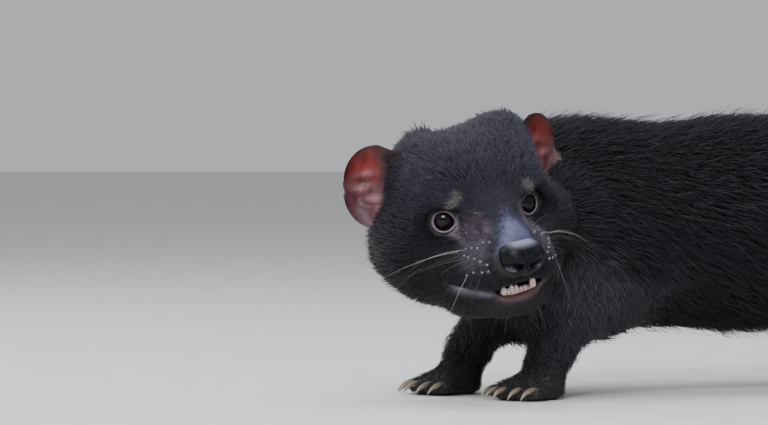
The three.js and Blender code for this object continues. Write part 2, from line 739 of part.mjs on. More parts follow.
const root = new THREE.Group();
const body = new THREE.Group();
const headGroup = new THREE.Group();
headGroup.position.set(...HEAD.origin);
headGroup.rotation.copy(HEAD.euler);
body.add(headGroup);
const tailGroup = new THREE.Group();
tailGroup.position.set(...TAIL.origin);
tailGroup.rotation.copy(TAIL.euler);
body.add(tailGroup);
root.add(body);

function addMesh(parent, name, solid, material) {
  const mesh = new THREE.Mesh(geometryOf(solid), material);
  mesh.name = name;
  parent.add(mesh);
  return mesh;
}

const headParts = buildHead();
addMesh(headGroup, 'head', headParts.head, COAT_MATERIAL);
addMesh(headGroup, 'lower_jaw', headParts.jaw, COAT_MATERIAL);
addMesh(headGroup, 'nose', headParts.nose, NOSE_MATERIAL);
for (const [name, side] of Object.entries(SIDES)) {
  addMesh(headGroup, `ear_${name}`, solidOf(earGeometry(side, 0)), EAR_MATERIAL);
  addMesh(headGroup, `eye_${name}`, solidOf(eyeGeometry(side)), EYE_MATERIAL);
}

function earsInWorld() {
  return Object.values(SIDES).map((side) => {
    const geometry = earGeometry(side, 2 * GAP);
    geometry.applyMatrix4(HEAD.matrix);
    return solidOf(geometry);
  });
}

let neck = bodyPart('neck', gridRound([-190, -80, 30], [10, 130, 240], 12));
let torso = bodyPart('torso', gridRound([-250, -50, 10], [20, 490, 250], 19));
for (const ear of earsInWorld()) {
  neck = neck.subtract(ear);
  torso = torso.subtract(ear);
}
addMesh(body, 'neck', neck, COAT_MATERIAL);
addMesh(body, 'torso', torso, COAT_MATERIAL);
addMesh(tailGroup, 'tail', bodyPart('tail', tailLines, TAIL), COAT_MATERIAL);

for (const [name, foot] of Object.entries(FEET)) {
  const legName = name.replace('foot', 'leg');
  const [x, y] = foot.place;
  const low = [x - 70, y - 70, 10];
  const high = [x + 70, y + 110, 130];
  addMesh(body, legName, bodyPart(legName, gridRound(low, high, 12)), COAT_MATERIAL);
  addMesh(body, name, buildFoot(name, foot), FOOT_MATERIAL);
}

// The origin is the middle of the model's outline on the floor.
body.updateMatrixWorld(true);
const bounds = new THREE.Box3().setFromObject(body, true);
const middle = bounds.getCenter(new THREE.Vector3());
body.position.set(-middle.x, -middle.y, 0);

export default root;
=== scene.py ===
"""Tasmanian devil: a still, life-size model with its head turned to its left, on a plain stage.

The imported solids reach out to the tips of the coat. One skin lies inside them by the coat's depth, and
the eyes, nose, mouth, claws, whiskers and coat are set on it.
"""

import math

import bmesh
import bpy
import numpy as np
from mathutils import Matrix, Vector, kdtree


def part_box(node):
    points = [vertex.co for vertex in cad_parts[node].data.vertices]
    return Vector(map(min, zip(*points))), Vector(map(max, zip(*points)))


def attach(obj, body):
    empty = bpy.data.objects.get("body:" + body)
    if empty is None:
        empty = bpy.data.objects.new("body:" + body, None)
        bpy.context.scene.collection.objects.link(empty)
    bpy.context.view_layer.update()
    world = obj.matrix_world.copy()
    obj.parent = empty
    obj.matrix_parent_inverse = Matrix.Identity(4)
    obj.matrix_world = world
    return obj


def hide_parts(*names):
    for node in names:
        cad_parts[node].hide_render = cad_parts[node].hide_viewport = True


bl_info = {
    "name": "Tasmanian devil",
    "version": (1, 0, 0),
    "blender": (4, 5, 0),
    "location": "3D View > Sidebar > Devil",
    "description": "Skin, face, claws, whiskers and coat of a life-size Tasmanian devil",
    "category": "Object",
}

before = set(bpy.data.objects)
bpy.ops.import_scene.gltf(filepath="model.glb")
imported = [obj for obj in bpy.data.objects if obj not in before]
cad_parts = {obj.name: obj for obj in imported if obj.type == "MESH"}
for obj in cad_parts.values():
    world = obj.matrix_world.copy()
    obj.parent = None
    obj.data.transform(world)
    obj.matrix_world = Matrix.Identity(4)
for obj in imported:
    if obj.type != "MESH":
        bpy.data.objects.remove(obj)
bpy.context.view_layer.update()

MM = 0.001
SIDES = {"left": 1, "right": -1}

# The head's own frame: its origin is midway between the fronts of the eyes, x runs to the animal's left,
# y to its back and z up. Places in it are in millimetres, turns in degrees.
HEAD_TURN = 96.5
HEAD_NOD = 12
HEAD_TILT = 11
EYE_SPACING = 68
EYE_TURN = 25
EYEBALL_RADIUS = 9.5
NOSE_CENTRE = np.array([1.2, -52, -19])
NOSE_RADII = np.array([15.6, 12, 11.5])
EAR_REACH = 37
EAR_SPAN = 60


def box_middle(node):
    low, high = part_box(node)
    return np.array((low + high) / 2)


def unit(vectors):
    lengths = np.linalg.norm(vectors, axis=-1, keepdims=True)
    return vectors / np.maximum(lengths, 1e-9)


def turned(turn, nod=0.0, tilt=0.0):
    """Axes, as columns, of a frame turned about z, its front nodded down and its left side tilted up."""
    matrix = (
        Matrix.Rotation(math.radians(turn), 3, "Z")
        @ Matrix.Rotation(math.radians(nod), 3, "X")
        @ Matrix.Rotation(math.radians(-tilt), 3, "Y")
    )
    return np.array(matrix)


def eye_axis(side):
    turn = math.radians(EYE_TURN)
    return unit(np.array([side * math.sin(turn), -math.cos(turn), 0.06]))


def eye_centre(side):
    front = np.array([side * EYE_SPACING / 2, 0, 0])
    return front - EYEBALL_RADIUS * eye_axis(side)


HEAD_AXES = turned(HEAD_TURN, HEAD_NOD, HEAD_TILT)
EYES_MIDDLE = (box_middle("eye_left") + box_middle("eye_right")) / 2
HEAD_ORIGIN = EYES_MIDDLE - HEAD_AXES @ ((eye_centre(1) + eye_centre(-1)) / 2) * MM


def to_head(points):
    return (points - HEAD_ORIGIN) @ HEAD_AXES / MM


def from_head(points):
    return HEAD_ORIGIN + (np.asarray(points) @ HEAD_AXES.T) * MM


# Feet, placed from the point on the floor under the eyes' middle, with their toes across
FRONT_TURN = 18
FRONT_TOES = (-16, -8.5, 0, 8.5, 16)
HIND_TOES = (-13.5, -4.5, 4.5, 13.5)
FEET = {
    "forefoot_left": {"place": (-53, 56), "turn": FRONT_TURN + 6, "toes": FRONT_TOES, "reach": 34},
    "forefoot_right": {"place": (-130, 16), "turn": FRONT_TURN - 4, "toes": FRONT_TOES, "reach": 34},
    "hindfoot_left": {"place": (-86, 332), "turn": 10, "toes": HIND_TOES, "reach": 38},
    "hindfoot_right": {"place": (-198, 366), "turn": -8, "toes": HIND_TOES, "reach": 38},
}


def foot_frame(foot):
    origin = np.array([HEAD_ORIGIN[0], HEAD_ORIGIN[1], 0]) + np.array([*foot["place"], 0]) * MM
    return origin, turned(foot["turn"])


def toe_tip(foot, across):
    return np.array([across * 1.35, -(foot["reach"] - abs(across) * 0.55), 6])


# Smooth steps and the shape of the head as a signed distance in its own frame
def step_between(low, high, values):
    share = np.clip((values - low) / (high - low), 0, 1)
    return share * share * (3 - 2 * share)


def ellipsoid(points, centre, radii):
    ratio = (points - np.asarray(centre)) / np.asarray(radii)
    first = np.linalg.norm(ratio, axis=1)
    second = np.linalg.norm(ratio / np.asarray(radii), axis=1)
    return first * (first - 1) / np.maximum(second, 1e-6)


def round_cone(points, start, start_radius, end, end_radius):
    start = np.asarray(start, float)
    along = np.asarray(end, float) - start
    share = np.clip((points - start) @ along / (along @ along), 0, 1)
    away = np.linalg.norm(points - start - share[:, None] * along, axis=1)
    return away - (start_radius + share * (end_radius - start_radius))


def smooth_minimum(a, b, width):
    overlap = np.maximum(width - np.abs(a - b), 0) / width
    return np.minimum(a, b) - overlap * overlap * width / 4


def blended(width, fields):
    value = fields[0]
    for field in fields[1:]:
        value = smooth_minimum(value, field, width)
    return value


def head_field(points):
    skull = [
        ellipsoid(points, (0, 46, 14), (40, 52, 43)),
        round_cone(points, (0, 12, 16), 27, (0, -19, -1), 17),
    ]
    muzzle = [round_cone(points, (0, 4, -17), 34, (0, -34, -20), 23.5)]
    chin = []
    for side in SIDES.values():
        skull.append(ellipsoid(points, (side * 21, 44, 14), (34, 52, 44)))
        skull.append(ellipsoid(points, (side * 39, 34, -22), (38, 42, 37)))
        skull.append(round_cone(points, (side * 27, 22, -42), 28, (side * 22, -4, -46), 20))
        muzzle.append(ellipsoid(points, (side * 24, -6, -25), (19, 23, 19)))
        muzzle.append(ellipsoid(points, (side * 17, -30, -31), (17, 22, 15)))
        chin.append(round_cone(points, (side * 20, -2, -53), 17, (side * 8, -32, -55), 13))
    value = blended(13, [blended(16, skull), blended(12, muzzle), blended(9, chin)])
    for side in SIDES.values():
        socket = ellipsoid(points, (side * 35, -10, 1), (13, 11, 10))
        corner = ellipsoid(points, (side * 24, -19, 0), (10, 9, 8))
        value = -smooth_minimum(-value, smooth_minimum(socket, corner, 6), 9)
    return value


def field_slope(field, points, reach=0.5):
    value = field(points)
    slope = np.stack([field(points + reach * axis) - value for axis in np.eye(3)], axis=1) / reach
    return value, slope


def soft_spot(points, centre, radius):
    """1 at a centre, falling softly to 0 round it."""
    return np.exp(-((points - np.asarray(centre)) ** 2).sum(axis=1) / radius ** 2)


# Where the skin of the crown lies deeper, or less deep, and by how much
DIP_RADIUS = 22
CROWN_DIPS = [
    ((-3, 66, 54), 8.0),
    ((-22, 50, 55), 3.0),
    ((18, 57, 54), 3.0),
    ((40, 46, 50), -5.0),
    ((50, 60, 42), -6.0),
]


def face_depth(points):
    """Depth of the coat over the head's skin."""
    x, y, z = points.T
    depth = 1.0 + 3.8 * step_between(-12, 34, y) + 1.6 * step_between(46, 66, np.abs(x))
    depth = depth + 1.6 * step_between(-50, -62, z) * step_between(-30, 0, y)
    for place, lower in CROWN_DIPS:
        depth = depth + lower * soft_spot(points, place, DIP_RADIUS)
    return depth


def on_face(across, up):
    """The skin's points in front of the given places across and up."""
    across, up = np.broadcast_arrays(np.asarray(across, float), np.asarray(up, float))
    outside = np.full(across.shape, -100.0)
    inside = np.full(across.shape, 40.0)
    for _ in range(26):
        half = (outside + inside) / 2
        points = np.stack([across, half, up], axis=1)
        empty = head_field(points) + face_depth(points) > 0
        outside = np.where(empty, half, outside)
        inside = np.where(empty, inside, half)
    return np.stack([across, inside, up], axis=1)


# The mouth line from the animal's right corner to its left one, across and up
MOUTH_ACROSS = np.array([-41, -32, -23, -13, 0, 10, 20, 32, 41])
MOUTH_UP = np.array([-38.5, -41, -42.3, -42.5, -42, -41, -39.5, -38.5, -38])
# The part of it where the lips stand open, across, and how far they part over and under the mouth line
MOUTH_OPEN = (-17, 18.5)
UPPER_GAPE = 4.4
LOWER_GAPE = 7.0


def smooth_path(across, up, count):
    """A smooth curve of count points through the given places, which lie in order of across."""
    points = np.stack([across, up], axis=1).astype(float)
    padded = np.concatenate([2 * points[:1] - points[1:2], points, 2 * points[-1:] - points[-2:-1]])
    places = np.linspace(0, len(points) - 1, count)
    first = np.minimum(places.astype(int), len(points) - 2)
    t = (places - first)[:, None]
    p0, p1, p2, p3 = (padded[first + shift] for shift in range(4))
    curve = p1 + 0.5 * t * (p2 - p0 + t * (2 * p0 - 5 * p1 + 4 * p2 - p3 + t * (3 * (p1 - p2) + p3 - p0)))
    return curve[:, 0], curve[:, 1]


MOUTH_LINE = smooth_path(MOUTH_ACROSS, MOUTH_UP, 49)


def mouth_height(across):
    return np.interp(across, *MOUTH_LINE)


def mouth_gape(across):
    """How far the mouth is open, from 0 at the ends of its opening to 1."""
    middle = sum(MOUTH_OPEN) / 2
    half = (MOUTH_OPEN[1] - MOUTH_OPEN[0]) / 2
    return np.sqrt(np.clip(1 - ((across - middle) / half) ** 2, 0, 1))


# Meshes
def placed(name, data):
    """A new object of some data in the scene."""
    made = bpy.data.objects.new(name, data)
    bpy.context.scene.collection.objects.link(made)
    return made


def mesh_object(name, vertices, faces, material, smooth=True):
    """A mesh object of the given points and faces."""
    mesh = bpy.data.meshes.new(name)
    mesh.from_pydata(np.asarray(vertices).tolist(), [], [list(face) for face in faces])
    return finished_object(name, mesh, material, smooth)


def finished_object(name, mesh, material, smooth=True):
    mesh.validate()
    if smooth:
        mesh.shade_smooth()
    mesh.materials.append(material)
    return placed(name, mesh)


def ride_as(piece, slot, *nodes):
    """Hides the nodes that a piece replaces and sets it on the part's one body. The slot is not used."""
    if nodes:
        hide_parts(*nodes)
    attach(piece, "root")


def outward(piece):
    """Turns the faces of a closed mesh outwards."""
    work = bmesh.new()
    work.from_mesh(piece.data)
    bmesh.ops.recalc_face_normals(work, faces=work.faces)
    work.to_mesh(piece.data)
    work.free()
    return piece


def positions_of(mesh):
    points = np.empty(len(mesh.vertices) * 3)
    mesh.vertices.foreach_get("co", points)
    return points.reshape(-1, 3)


def set_positions(mesh, points):
    mesh.vertices.foreach_set("co", np.ascontiguousarray(points, dtype=np.float32).ravel())
    mesh.update()


def normals_of(mesh):
    normals = np.empty(len(mesh.vertices) * 3)
    mesh.vertices.foreach_get("normal", normals)
    return normals.reshape(-1, 3)


def write_attribute(mesh, name, kind, values):
    attribute = mesh.attributes.new(name, kind, "POINT")
    field = {"FLOAT": "value", "FLOAT_VECTOR": "vector", "FLOAT_COLOR": "color"}[kind]
    attribute.data.foreach_set(field, np.ascontiguousarray(values, dtype=np.float32).ravel())


def read_attribute(mesh, name, width):
    field = {1: "value", 3: "vector", 4: "color"}[width]
    values = np.empty(len(mesh.vertices) * width, dtype=np.float32)
    mesh.attributes[name].data.foreach_get(field, values)
    return values.reshape(-1, width) if width > 1 else values


class Neighbours:
    """The neighbours of each vertex of a mesh, for averages over them."""

    def __init__(self, mesh):
        edges = np.empty(len(mesh.edges) * 2, dtype=np.int64)
        mesh.edges.foreach_get("vertices", edges)
        edges = edges.reshape(-1, 2)
        both = np.concatenate([edges, edges[:, ::-1]])
        both = both[np.argsort(both[:, 0], kind="stable")]
        self.other = both[:, 1]
        self.count = np.bincount(both[:, 0], minlength=len(mesh.vertices))
        self.start = np.concatenate([[0], np.cumsum(self.count)[:-1]])

    def mean(self, values):
        totals = np.add.reduceat(values[self.other], self.start, axis=0)
        return totals / self.count.reshape(-1, *([1] * (values.ndim - 1)))

    def smoothed(self, values, rounds):
        for _ in range(rounds):
            values = values + 0.5 * (self.mean(values) - values)
        return values


def distance_to_path(points, path):
    """Distance from each point to a path of points, and how far along the path it lies, from 0 to 1."""
    best = np.full(len(points), 1e9)
    place = np.zeros(len(points))
    steps = len(path) - 1
    for step in range(steps):
        along = path[step + 1] - path[step]
        share = np.clip((points - path[step]) @ along / max(along @ along, 1e-9), 0, 1)
        away = np.linalg.norm(points - path[step] - share[:, None] * along, axis=1)
        nearer = away < best
        best = np.where(nearer, away, best)
        place = np.where(nearer, (step + share) / steps, place)
    return best, place


def bump_along(points, path, radius, height, fade=True):
    """Height of a soft ridge along a path, lower towards its ends."""
    away, place = distance_to_path(points, np.asarray(path, float))
    profile = np.exp(-((away / radius) ** 2))
    ends = np.sin(np.pi * np.clip(place, 0.04, 0.96)) ** 0.5 if fade else 1.0
    return height * profile * ends


# The skin's main shape
TRUNK_NODES = ("head", "lower_jaw", "neck", "torso", "tail")
LEG_NODES = ("foreleg_left", "foreleg_right", "hindleg_left", "hindleg_right")
FLESH_NODES = TRUNK_NODES + LEG_NODES + tuple(FEET)
# Solids that only fill the flesh behind pieces of their own
FILLING_NODES = ("eye_left", "eye_right", "nose")


def without_claws(points, foot):
    """Draws the claws of a foot's solid back into its toes."""
    origin, axes = foot_frame(foot)
    local = (points - origin) @ axes / MM
    tips = np.array([toe_tip(foot, across) for across in foot["toes"]])
    nearest = np.argmin(np.abs(local[:, :1] - tips[:, 0]), axis=1)
    front = tips[nearest, 1] - 5.5
    claw = local[:, 1] < front
    local[claw, 1] = front[claw]
    local[claw, 2] = np.clip(local[claw, 2], 3, 9)
    return origin + local @ axes.T * MM


def joined_flesh(growth):
    """The solids of the flesh, each grown a little so that they meet, as one mesh."""
    joined = bmesh.new()
    for name in FLESH_NODES + FILLING_NODES:
        part = bmesh.new()
        part.from_mesh(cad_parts[name].data)
        bmesh.ops.remove_doubles(part, verts=part.verts, dist=1e-6)
        part.normal_update()
        for vertex in part.verts:
            vertex.co += vertex.normal * growth
        mesh = bpy.data.meshes.new("grown")
        part.to_mesh(mesh)
        part.free()
        if name in FEET:
            set_positions(mesh, without_claws(positions_of(mesh), FEET[name]))
        joined.from_mesh(mesh)
        bpy.data.meshes.remove(mesh)
    mesh = bpy.data.meshes.new("flesh")
    joined.to_mesh(mesh)
    joined.free()
    return mesh


def remeshed(mesh, spacing):
    work = placed("flesh", mesh)
    remesh = work.modifiers.new("skin", "REMESH")
    remesh.mode = "VOXEL"
    remesh.voxel_size = spacing
    result = plain_mesh(work, "skin")
    bpy.data.objects.remove(work)
    return result


def plain_mesh(piece, name):
    """The mesh of an object as its modifiers make it."""
    graph = bpy.context.evaluated_depsgraph_get()
    mesh = bpy.data.meshes.new_from_object(piece.evaluated_get(graph), depsgraph=graph)
    mesh.name = name
    return mesh


# Coat of each zone: length and standing depth in millimetres, tufts for each square millimetre
ZONES = {
    "head": {"length": 9, "standing": 3.4, "density": 0.92},
    "lower_jaw": {"length": 6, "standing": 2.0, "density": 1.1},
    "neck": {"length": 18, "standing": 7, "density": 0.5},
    "torso": {"length": 24, "standing": 8, "density": 0.285},
    "tail": {"length": 25, "standing": 6, "density": 0.3},
    "foreleg": {"length": 11, "standing": 4, "density": 0.42},
    "hindleg": {"length": 14, "standing": 5, "density": 0.28},
    "forefoot": {"length": 4.5, "standing": 1.4, "density": 0.6},
    "hindfoot": {"length": 4.5, "standing": 1.4, "density": 0.5},
}
ZONE_NAMES = list(ZONES)


def zone_weights(points, neighbours):
    """How much each vertex belongs to each zone, softened where zones meet."""
    clouds = {node: positions_of(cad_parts[node].data) for node in FLESH_NODES}
    owners = []
    for node, cloud in clouds.items():
        zone = node.removesuffix("_left").removesuffix("_right")
        owners.extend([ZONE_NAMES.index(zone)] * len(cloud))
    tree = kdtree.KDTree(len(owners))
    for index, point in enumerate(np.concatenate(list(clouds.values()))):
        tree.insert(point, index)
    tree.balance()
    weights = np.zeros((len(points), len(ZONES)))
    for index, point in enumerate(points):
        weights[index, owners[tree.find(point)[1]]] = 1
    return neighbours.smoothed(weights, 14)


def share_of(zones, *names):
    """How much each vertex belongs to the named zones together."""
    return sum(zones[:, ZONE_NAMES.index(name)] for name in names)


def head_of(zones):
    return share_of(zones, "head", "lower_jaw")


def feet_of(zones):
    return share_of(zones, "forefoot", "hindfoot")


def draw_to_head(points, strength):
    """Draws points in the head's frame onto the smooth head, inside it by the coat's depth."""
    points = points.copy()
    for _ in range(4):
        value, slope = field_slope(head_field, points)
        value = value + face_depth(points)
        steepness = np.maximum((slope ** 2).sum(axis=1), 0.2)
        points -= (strength * value / steepness)[:, None] * slope
    return points


def refine(mesh, chosen):
    """Splits each chosen face in four."""
    work = bmesh.new()
    work.from_mesh(mesh)
    work.faces.ensure_lookup_table()
    edges = {edge for index in np.nonzero(chosen)[0] for edge in work.faces[index].edges}
    bmesh.ops.subdivide_edges(work, edges=list(edges), cuts=1, use_grid_fill=True)
    odd = [face for face in work.faces if len(face.verts) > 4]
    bmesh.ops.triangulate(work, faces=odd)
    work.to_mesh(mesh)
    work.free()


def face_centres(mesh):
    centres = np.empty(len(mesh.polygons) * 3)
    mesh.polygons.foreach_get("center", centres)
    return centres.reshape(-1, 3)


def head_share(local):
    """1 on the head, falling to 0 over the neck."""
    x, y, z = local.T
    near = step_between(14, 7, np.abs(head_field(local)))
    top = step_between(4, 24, z)
    limit = 40 + 36 * top
    return near * step_between(limit + 24 - 8 * top, limit, y + 0.35 * x) * step_between(-96, -80, z)


# The skin round an eye stays at least so far forward of the eye's centre
LEAST_FORWARD = 4.9


def from_eye(points, side):
    """How far each point lies forward of an eye's centre along its axis, and its place beside that axis."""
    axis = eye_axis(side)
    away = points - eye_centre(side)
    forward = away @ axis
    return forward, away - np.outer(forward, axis)


def eye_surround(points, side):
    """Presses the skin round an eye back along its axis, behind the eyeball where the lids open."""
    axis = eye_axis(side)
    towards_nose = unit(np.cross(axis, [0, 0, 1]) * side)
    forward, beside = from_eye(points, side)
    reach = np.linalg.norm(beside, axis=1)
    way = beside / np.maximum(reach, 1e-6)[:, None]
    inner = np.maximum(way @ towards_nose, 0) ** 6
    outer = np.maximum(way @ -towards_nose, 0)
    above = np.maximum(way[:, 2], 0)
    below = np.maximum(-way[:, 2], 0)
    radius = EYEBALL_RADIUS - 1.6 + 1.8 * step_between(6.0, 7.4, reach)
    wanted = np.sqrt(np.maximum(radius ** 2 - reach ** 2, LEAST_FORWARD ** 2))
    start = 8.4 + 2.6 * inner
    limit = 12.5 + 3.5 * inner + 6.5 * outer + 2.5 * above + 4.5 * below
    share = step_between(limit, start, reach) * step_between(-9, -4, forward)
    return points + np.outer(share * (wanted - forward), axis)


def neck_hollow(local):
    """1 in the hollow that the turned neck leaves before the left ear, falling to 0 round it."""
    return soft_spot(local, (68, 50, 12), 17)


def path_on_face(places):
    across, up = np.array(places, float).T
    return on_face(across, up)


# Ridges and, below 0, folds beside each eye and on the muzzle: places across and up, half width, height
FACE_FOLDS = [
    ([(16, 10), (25, 15), (36, 15), (46, 9)], 5, 2.6),
    ([(23, 7.5), (18, 9), (12, 9)], 1.7, 1.6),
    ([(25, 0.5), (20, 2), (14, 3)], 1.6, 1.5),
    ([(24, 4), (18, 5.5), (11, 6)], 1.5, -1.5),
    ([(24, -3), (18, -2), (12, -2)], 2.2, -1.2),
    ([(25, -10), (33, -12), (43, -8)], 2.4, -1.4),
    ([(20, -10), (26, -15), (27, -24)], 8, 1.6),
    ([(14, -10), (18, -6), (22, -5)], 4, -1.6),
    ([(44, -34), (42, -40), (37, -47)], 2.4, -1.8),
]
LIP_GROOVE = [(0, -29), (0, -32), (0, -36)]


def mirrored(places, side):
    """Places across and up on one side of the face."""
    return [(side * across, up) for across, up in places]


def sculpt_face(points):
    """Brows, folds, lips, mouth and whisker pads, as heights along the head's outward direction."""
    _, slope = field_slope(head_field, points)
    outside = unit(slope)
    front = step_between(20, -2, points[:, 1])
    height = np.zeros(len(points))
    for side in SIDES.values():
        for places, width, rise in FACE_FOLDS:
            height += bump_along(points, path_on_face(mirrored(places, side)), width, rise)
    line = on_face(*MOUTH_LINE)
    height -= bump_along(points, line, 1.5, 4.2, fade=False) * front
    gape = mouth_gape(MOUTH_LINE[0])
    upper = on_face(MOUTH_LINE[0], MOUTH_LINE[1] + 2.6 + UPPER_GAPE * gape)
    lower = on_face(MOUTH_LINE[0], MOUTH_LINE[1] - 2.8 - LOWER_GAPE * gape)
    height += bump_along(points, upper, 2.3, 1.4) * front
    height += bump_along(points, lower, 2.4, 2.2) * front
    height -= bump_along(points, path_on_face(LIP_GROOVE), 1.2, 1.5, fade=False) * front
    return open_mouth(points + outside * height[:, None])


# How far the skin between the parted lips is pushed back
MOUTH_DEPTH = 9


def open_mouth(points):
    """Pushes the skin between the parted lips back into the head."""
    across, back, up = points.T
    above = up - mouth_height(across)
    gape = mouth_gape(across)
    top = UPPER_GAPE * gape - above
    bottom = above + LOWER_GAPE * gape
    within = step_between(0, 1.8, np.minimum(top, bottom)) * (gape > 0.1) * (back < -18)
    points = points.copy()
    points[:, 1] += MOUTH_DEPTH * within
    return points


# Ears
EAR_ROOTS = {1: np.array([46, 36, 22]), -1: np.array([-50, 48, 19])}
EAR_ROWS = 34
EAR_COLUMNS = 44


def ear_axes(side):
    outwards = unit(np.array([side * 0.86, 0.48, 0.06]))
    upwards = np.array([side * -0.16, 0.1, 0.98])
    upwards = unit(upwards - outwards * (upwards @ outwards))
    backwards = np.cross(upwards, outwards) * side
    return outwards, upwards, backwards


def ear_sheet(side, across, out, lift):
    """Points of an ear's sheet: across its span from -1 to 1, out from 0 to 1, and off it by lift."""
    outwards, upwards, backwards = ear_axes(side)
    root = EAR_ROOTS[side]
    share = np.maximum(out, 0)
    round_end = np.sqrt(np.maximum(0.012, 1 - np.maximum(0, (share - 0.3) / 0.72) ** 2.2))
    half_span = EAR_SPAN / 2 * (0.84 + 0.16 * np.minimum(1, share / 0.3)) * round_end
    cup = 13 * round_end * np.minimum(1, 0.45 + share * 1.6)
    behind = cup * (1 - across ** 2) - cup * 0.4
    reach = EAR_REACH * (1 + 0.015 * np.sin(across * 4 + 1))
    return (
        root
        + np.multiply.outer(across * half_span, upwards)
        + np.multiply.outer(out * reach, outwards)
        + np.multiply.outer(behind + lift, backwards)
    )


# Folds on the ear's inner side: place across and out, size across and out, height in millimetres
EAR_FOLDS = [
    (0.12, 0.58, 0.08, 0.2, -1.3),
    (0.3, 0.48, 0.12, 0.16, 1.2),
    (-0.12, 0.58, 0.12, 0.18, 1.4),
    (-0.34, 0.42, 0.1, 0.2, 1.5),
    (-0.36, 0.76, 0.09, 0.1, -1.1),
    (-0.52, 0.5, 0.07, 0.24, -0.9),
    (-0.66, 0.3, 0.14, 0.24, 2.6),
    (0.05, 0.2, 0.2, 0.14, -1.2),
]


def ear_spot(across, out, across_at, out_at, across_size, out_size):
    """1 in the middle of a spot on an ear, falling softly to 0 round it."""
    return np.exp(-(((across - across_at) / across_size) ** 2) - ((out - out_at) / out_size) ** 2)


def ear_relief(across, out):
    """Folds of the ear's inner side, towards its front."""
    relief = np.zeros_like(out)
    for *spot, height in EAR_FOLDS:
        relief += height * ear_spot(across, out, *spot)
    wrinkles = 0.3 * np.sin(out * 26 + 5 * across) * step_between(1.0, 0.6, out) * (1 - across ** 2)
    return relief + wrinkles


def ear_mesh(side):
    """Vertices, faces and the place of each vertex on one ear: across, out and 1 on its front."""
    rows = np.linspace(-0.28, 1, EAR_ROWS)
    columns = np.sin(np.linspace(-1, 1, EAR_COLUMNS) * math.pi / 2)
    out, across = np.meshgrid(rows, columns, indexing="ij")
    share = np.maximum(out, 0)
    half = (1.9 - 1.15 * np.minimum(1, share * 1.5)) * np.sqrt(np.maximum(0.03, 1 - across ** 4))
    half = half * np.sqrt(np.maximum(0.05, 1 - share ** 8))
    rim = step_between(0.9, 1.0, np.abs(across)) + step_between(0.85, 1.0, share)
    relief = ear_relief(across, share) * (1 - np.minimum(1, rim))
    flat = [array.ravel() for array in (across, out)]
    front = ear_sheet(side, *flat, (-half - relief).ravel())
    back = ear_sheet(side, *flat, half.ravel())
    count = EAR_ROWS * EAR_COLUMNS
    faces = []
    grid = np.arange(count).reshape(EAR_ROWS, EAR_COLUMNS)
    for row in range(EAR_ROWS - 1):
        for column in range(EAR_COLUMNS - 1):
            low, high = grid[row:row + 2, column:column + 2]
            corners = (low[0], low[1], high[1], high[0])
            faces.append(corners)
            faces.append(tuple(corner + count for corner in reversed(corners)))
    edge = [*grid[0], *grid[1:, -1], *grid[-1, -2::-1], *grid[-2:0:-1, 0]]
    for here, ahead in zip(edge, edge[1:] + edge[:1]):
        faces.append((here, here + count, ahead + count, ahead))
    place = np.stack([np.tile(flat[0], 2), np.tile(flat[1], 2), np.repeat([1.0, 0.0], count)], axis=1)
    return np.concatenate([front, back]), faces, place


# Colours, given from 0 to 255 and kept in linear light
def linear(red, green, blue):
    values = np.array([red, green, blue]) / 255
    return np.where(values < 0.04045, values / 12.92, ((values + 0.055) / 1.055) ** 2.4)


BLACK_COAT = linear(25, 21, 26)
# Painted sheen of the light from above: the crown's coat is lighter and bluer than the black body
CROWN_SKY_SHEEN = linear(47, 44, 56)
UNDER_COAT = linear(31, 27, 30)
# Painted fill light: legs and feet lighter than the black body, to lift their shade
LEG_FILL_LIGHT = linear(60, 60, 64)
# Painted highlight along the ridge of the lower lip on the animal's right side
LIP_RIDGE_HIGHLIGHT = linear(104, 96, 106)
BRIDGE_SKIN = linear(66, 68, 94)
LID_SKIN = linear(116, 106, 116)
MUZZLE_SKIN = linear(86, 77, 88)
FACE_SKIN = linear(94, 82, 94)
LIP_SKIN = linear(66, 54, 58)
INNER_LIP = linear(80, 50, 50)
# Painted shade inside the open mouth, between the parted lips
MOUTH_SHADE = linear(22, 10, 10)
BROW_PATCH = linear(104, 104, 98)
EAR_BROWN = linear(88, 42, 40)
EAR_MAUVE = linear(70, 34, 40)
EAR_RED = linear(112, 30, 30)
# Painted glints on the crests of the ear's folds, and painted shade in its creases
EAR_CREST_GLINT = linear(146, 94, 102)
EAR_CREASE_SHADE = linear(66, 16, 22)
EAR_BACK = linear(34, 28, 32)
FOOT_SKIN = linear(40, 35, 37)
RUMP_MARK = linear(196, 190, 180)


def mixed(base, colour, share):
    return base + (colour - base) * share[:, None]


def blot(points, centre, radii):
    """1 in the middle of an ellipsoid, falling softly to 0 at its edge."""
    away = np.linalg.norm((points - np.asarray(centre)) / np.asarray(radii), axis=1)
    return step_between(1.0, 0.35, away)


def streak(local, places, wide, narrow):
    """1 along a path of places across and up on the face, falling to 0 at the wide distance from it."""
    across, up = np.array(places, float).T
    path = np.stack([across, np.zeros(len(across)), up], axis=1)
    away, _ = distance_to_path(local * np.array([1, 0, 1]), path)
    return step_between(wide, narrow, away) * step_between(24, 18, local[:, 1])


def bridge_share(local):
    """The bare, bluish skin on top of the muzzle behind the nose."""
    back = local[:, 1]
    width = np.interp(back, [-58, -50, -42, -32], [14, 14, 10, 2])
    across = step_between(width + 9, width - 8, np.abs(local[:, 0] - 0.5))
    return across * step_between(-24, -42, back) * step_between(-19, -10, local[:, 2])


# Creases, inner corner and brow of each eye: colour, places across and up, where it ends and is full, share
FACE_STREAKS = [
    (LID_SKIN, [(21.5, 6.2), (18, 7.4), (14.5, 7.8)], 2.4, 0.4, 0.5),
    (LID_SKIN, [(23, -4), (18.5, -1.7), (14.5, -1.3)], 2.4, 0.4, 0.5),
    (LID_SKIN, [(23.5, 1), (23.5, -4), (28, -9)], 4.5, 1.0, 0.85),
    (BROW_PATCH, [(28.5, 14), (24, 18.5)], 4.2, 1.2, 0.85),
]
RUMP_MARK_RADII = np.array([0.04, 0.034, 0.012])


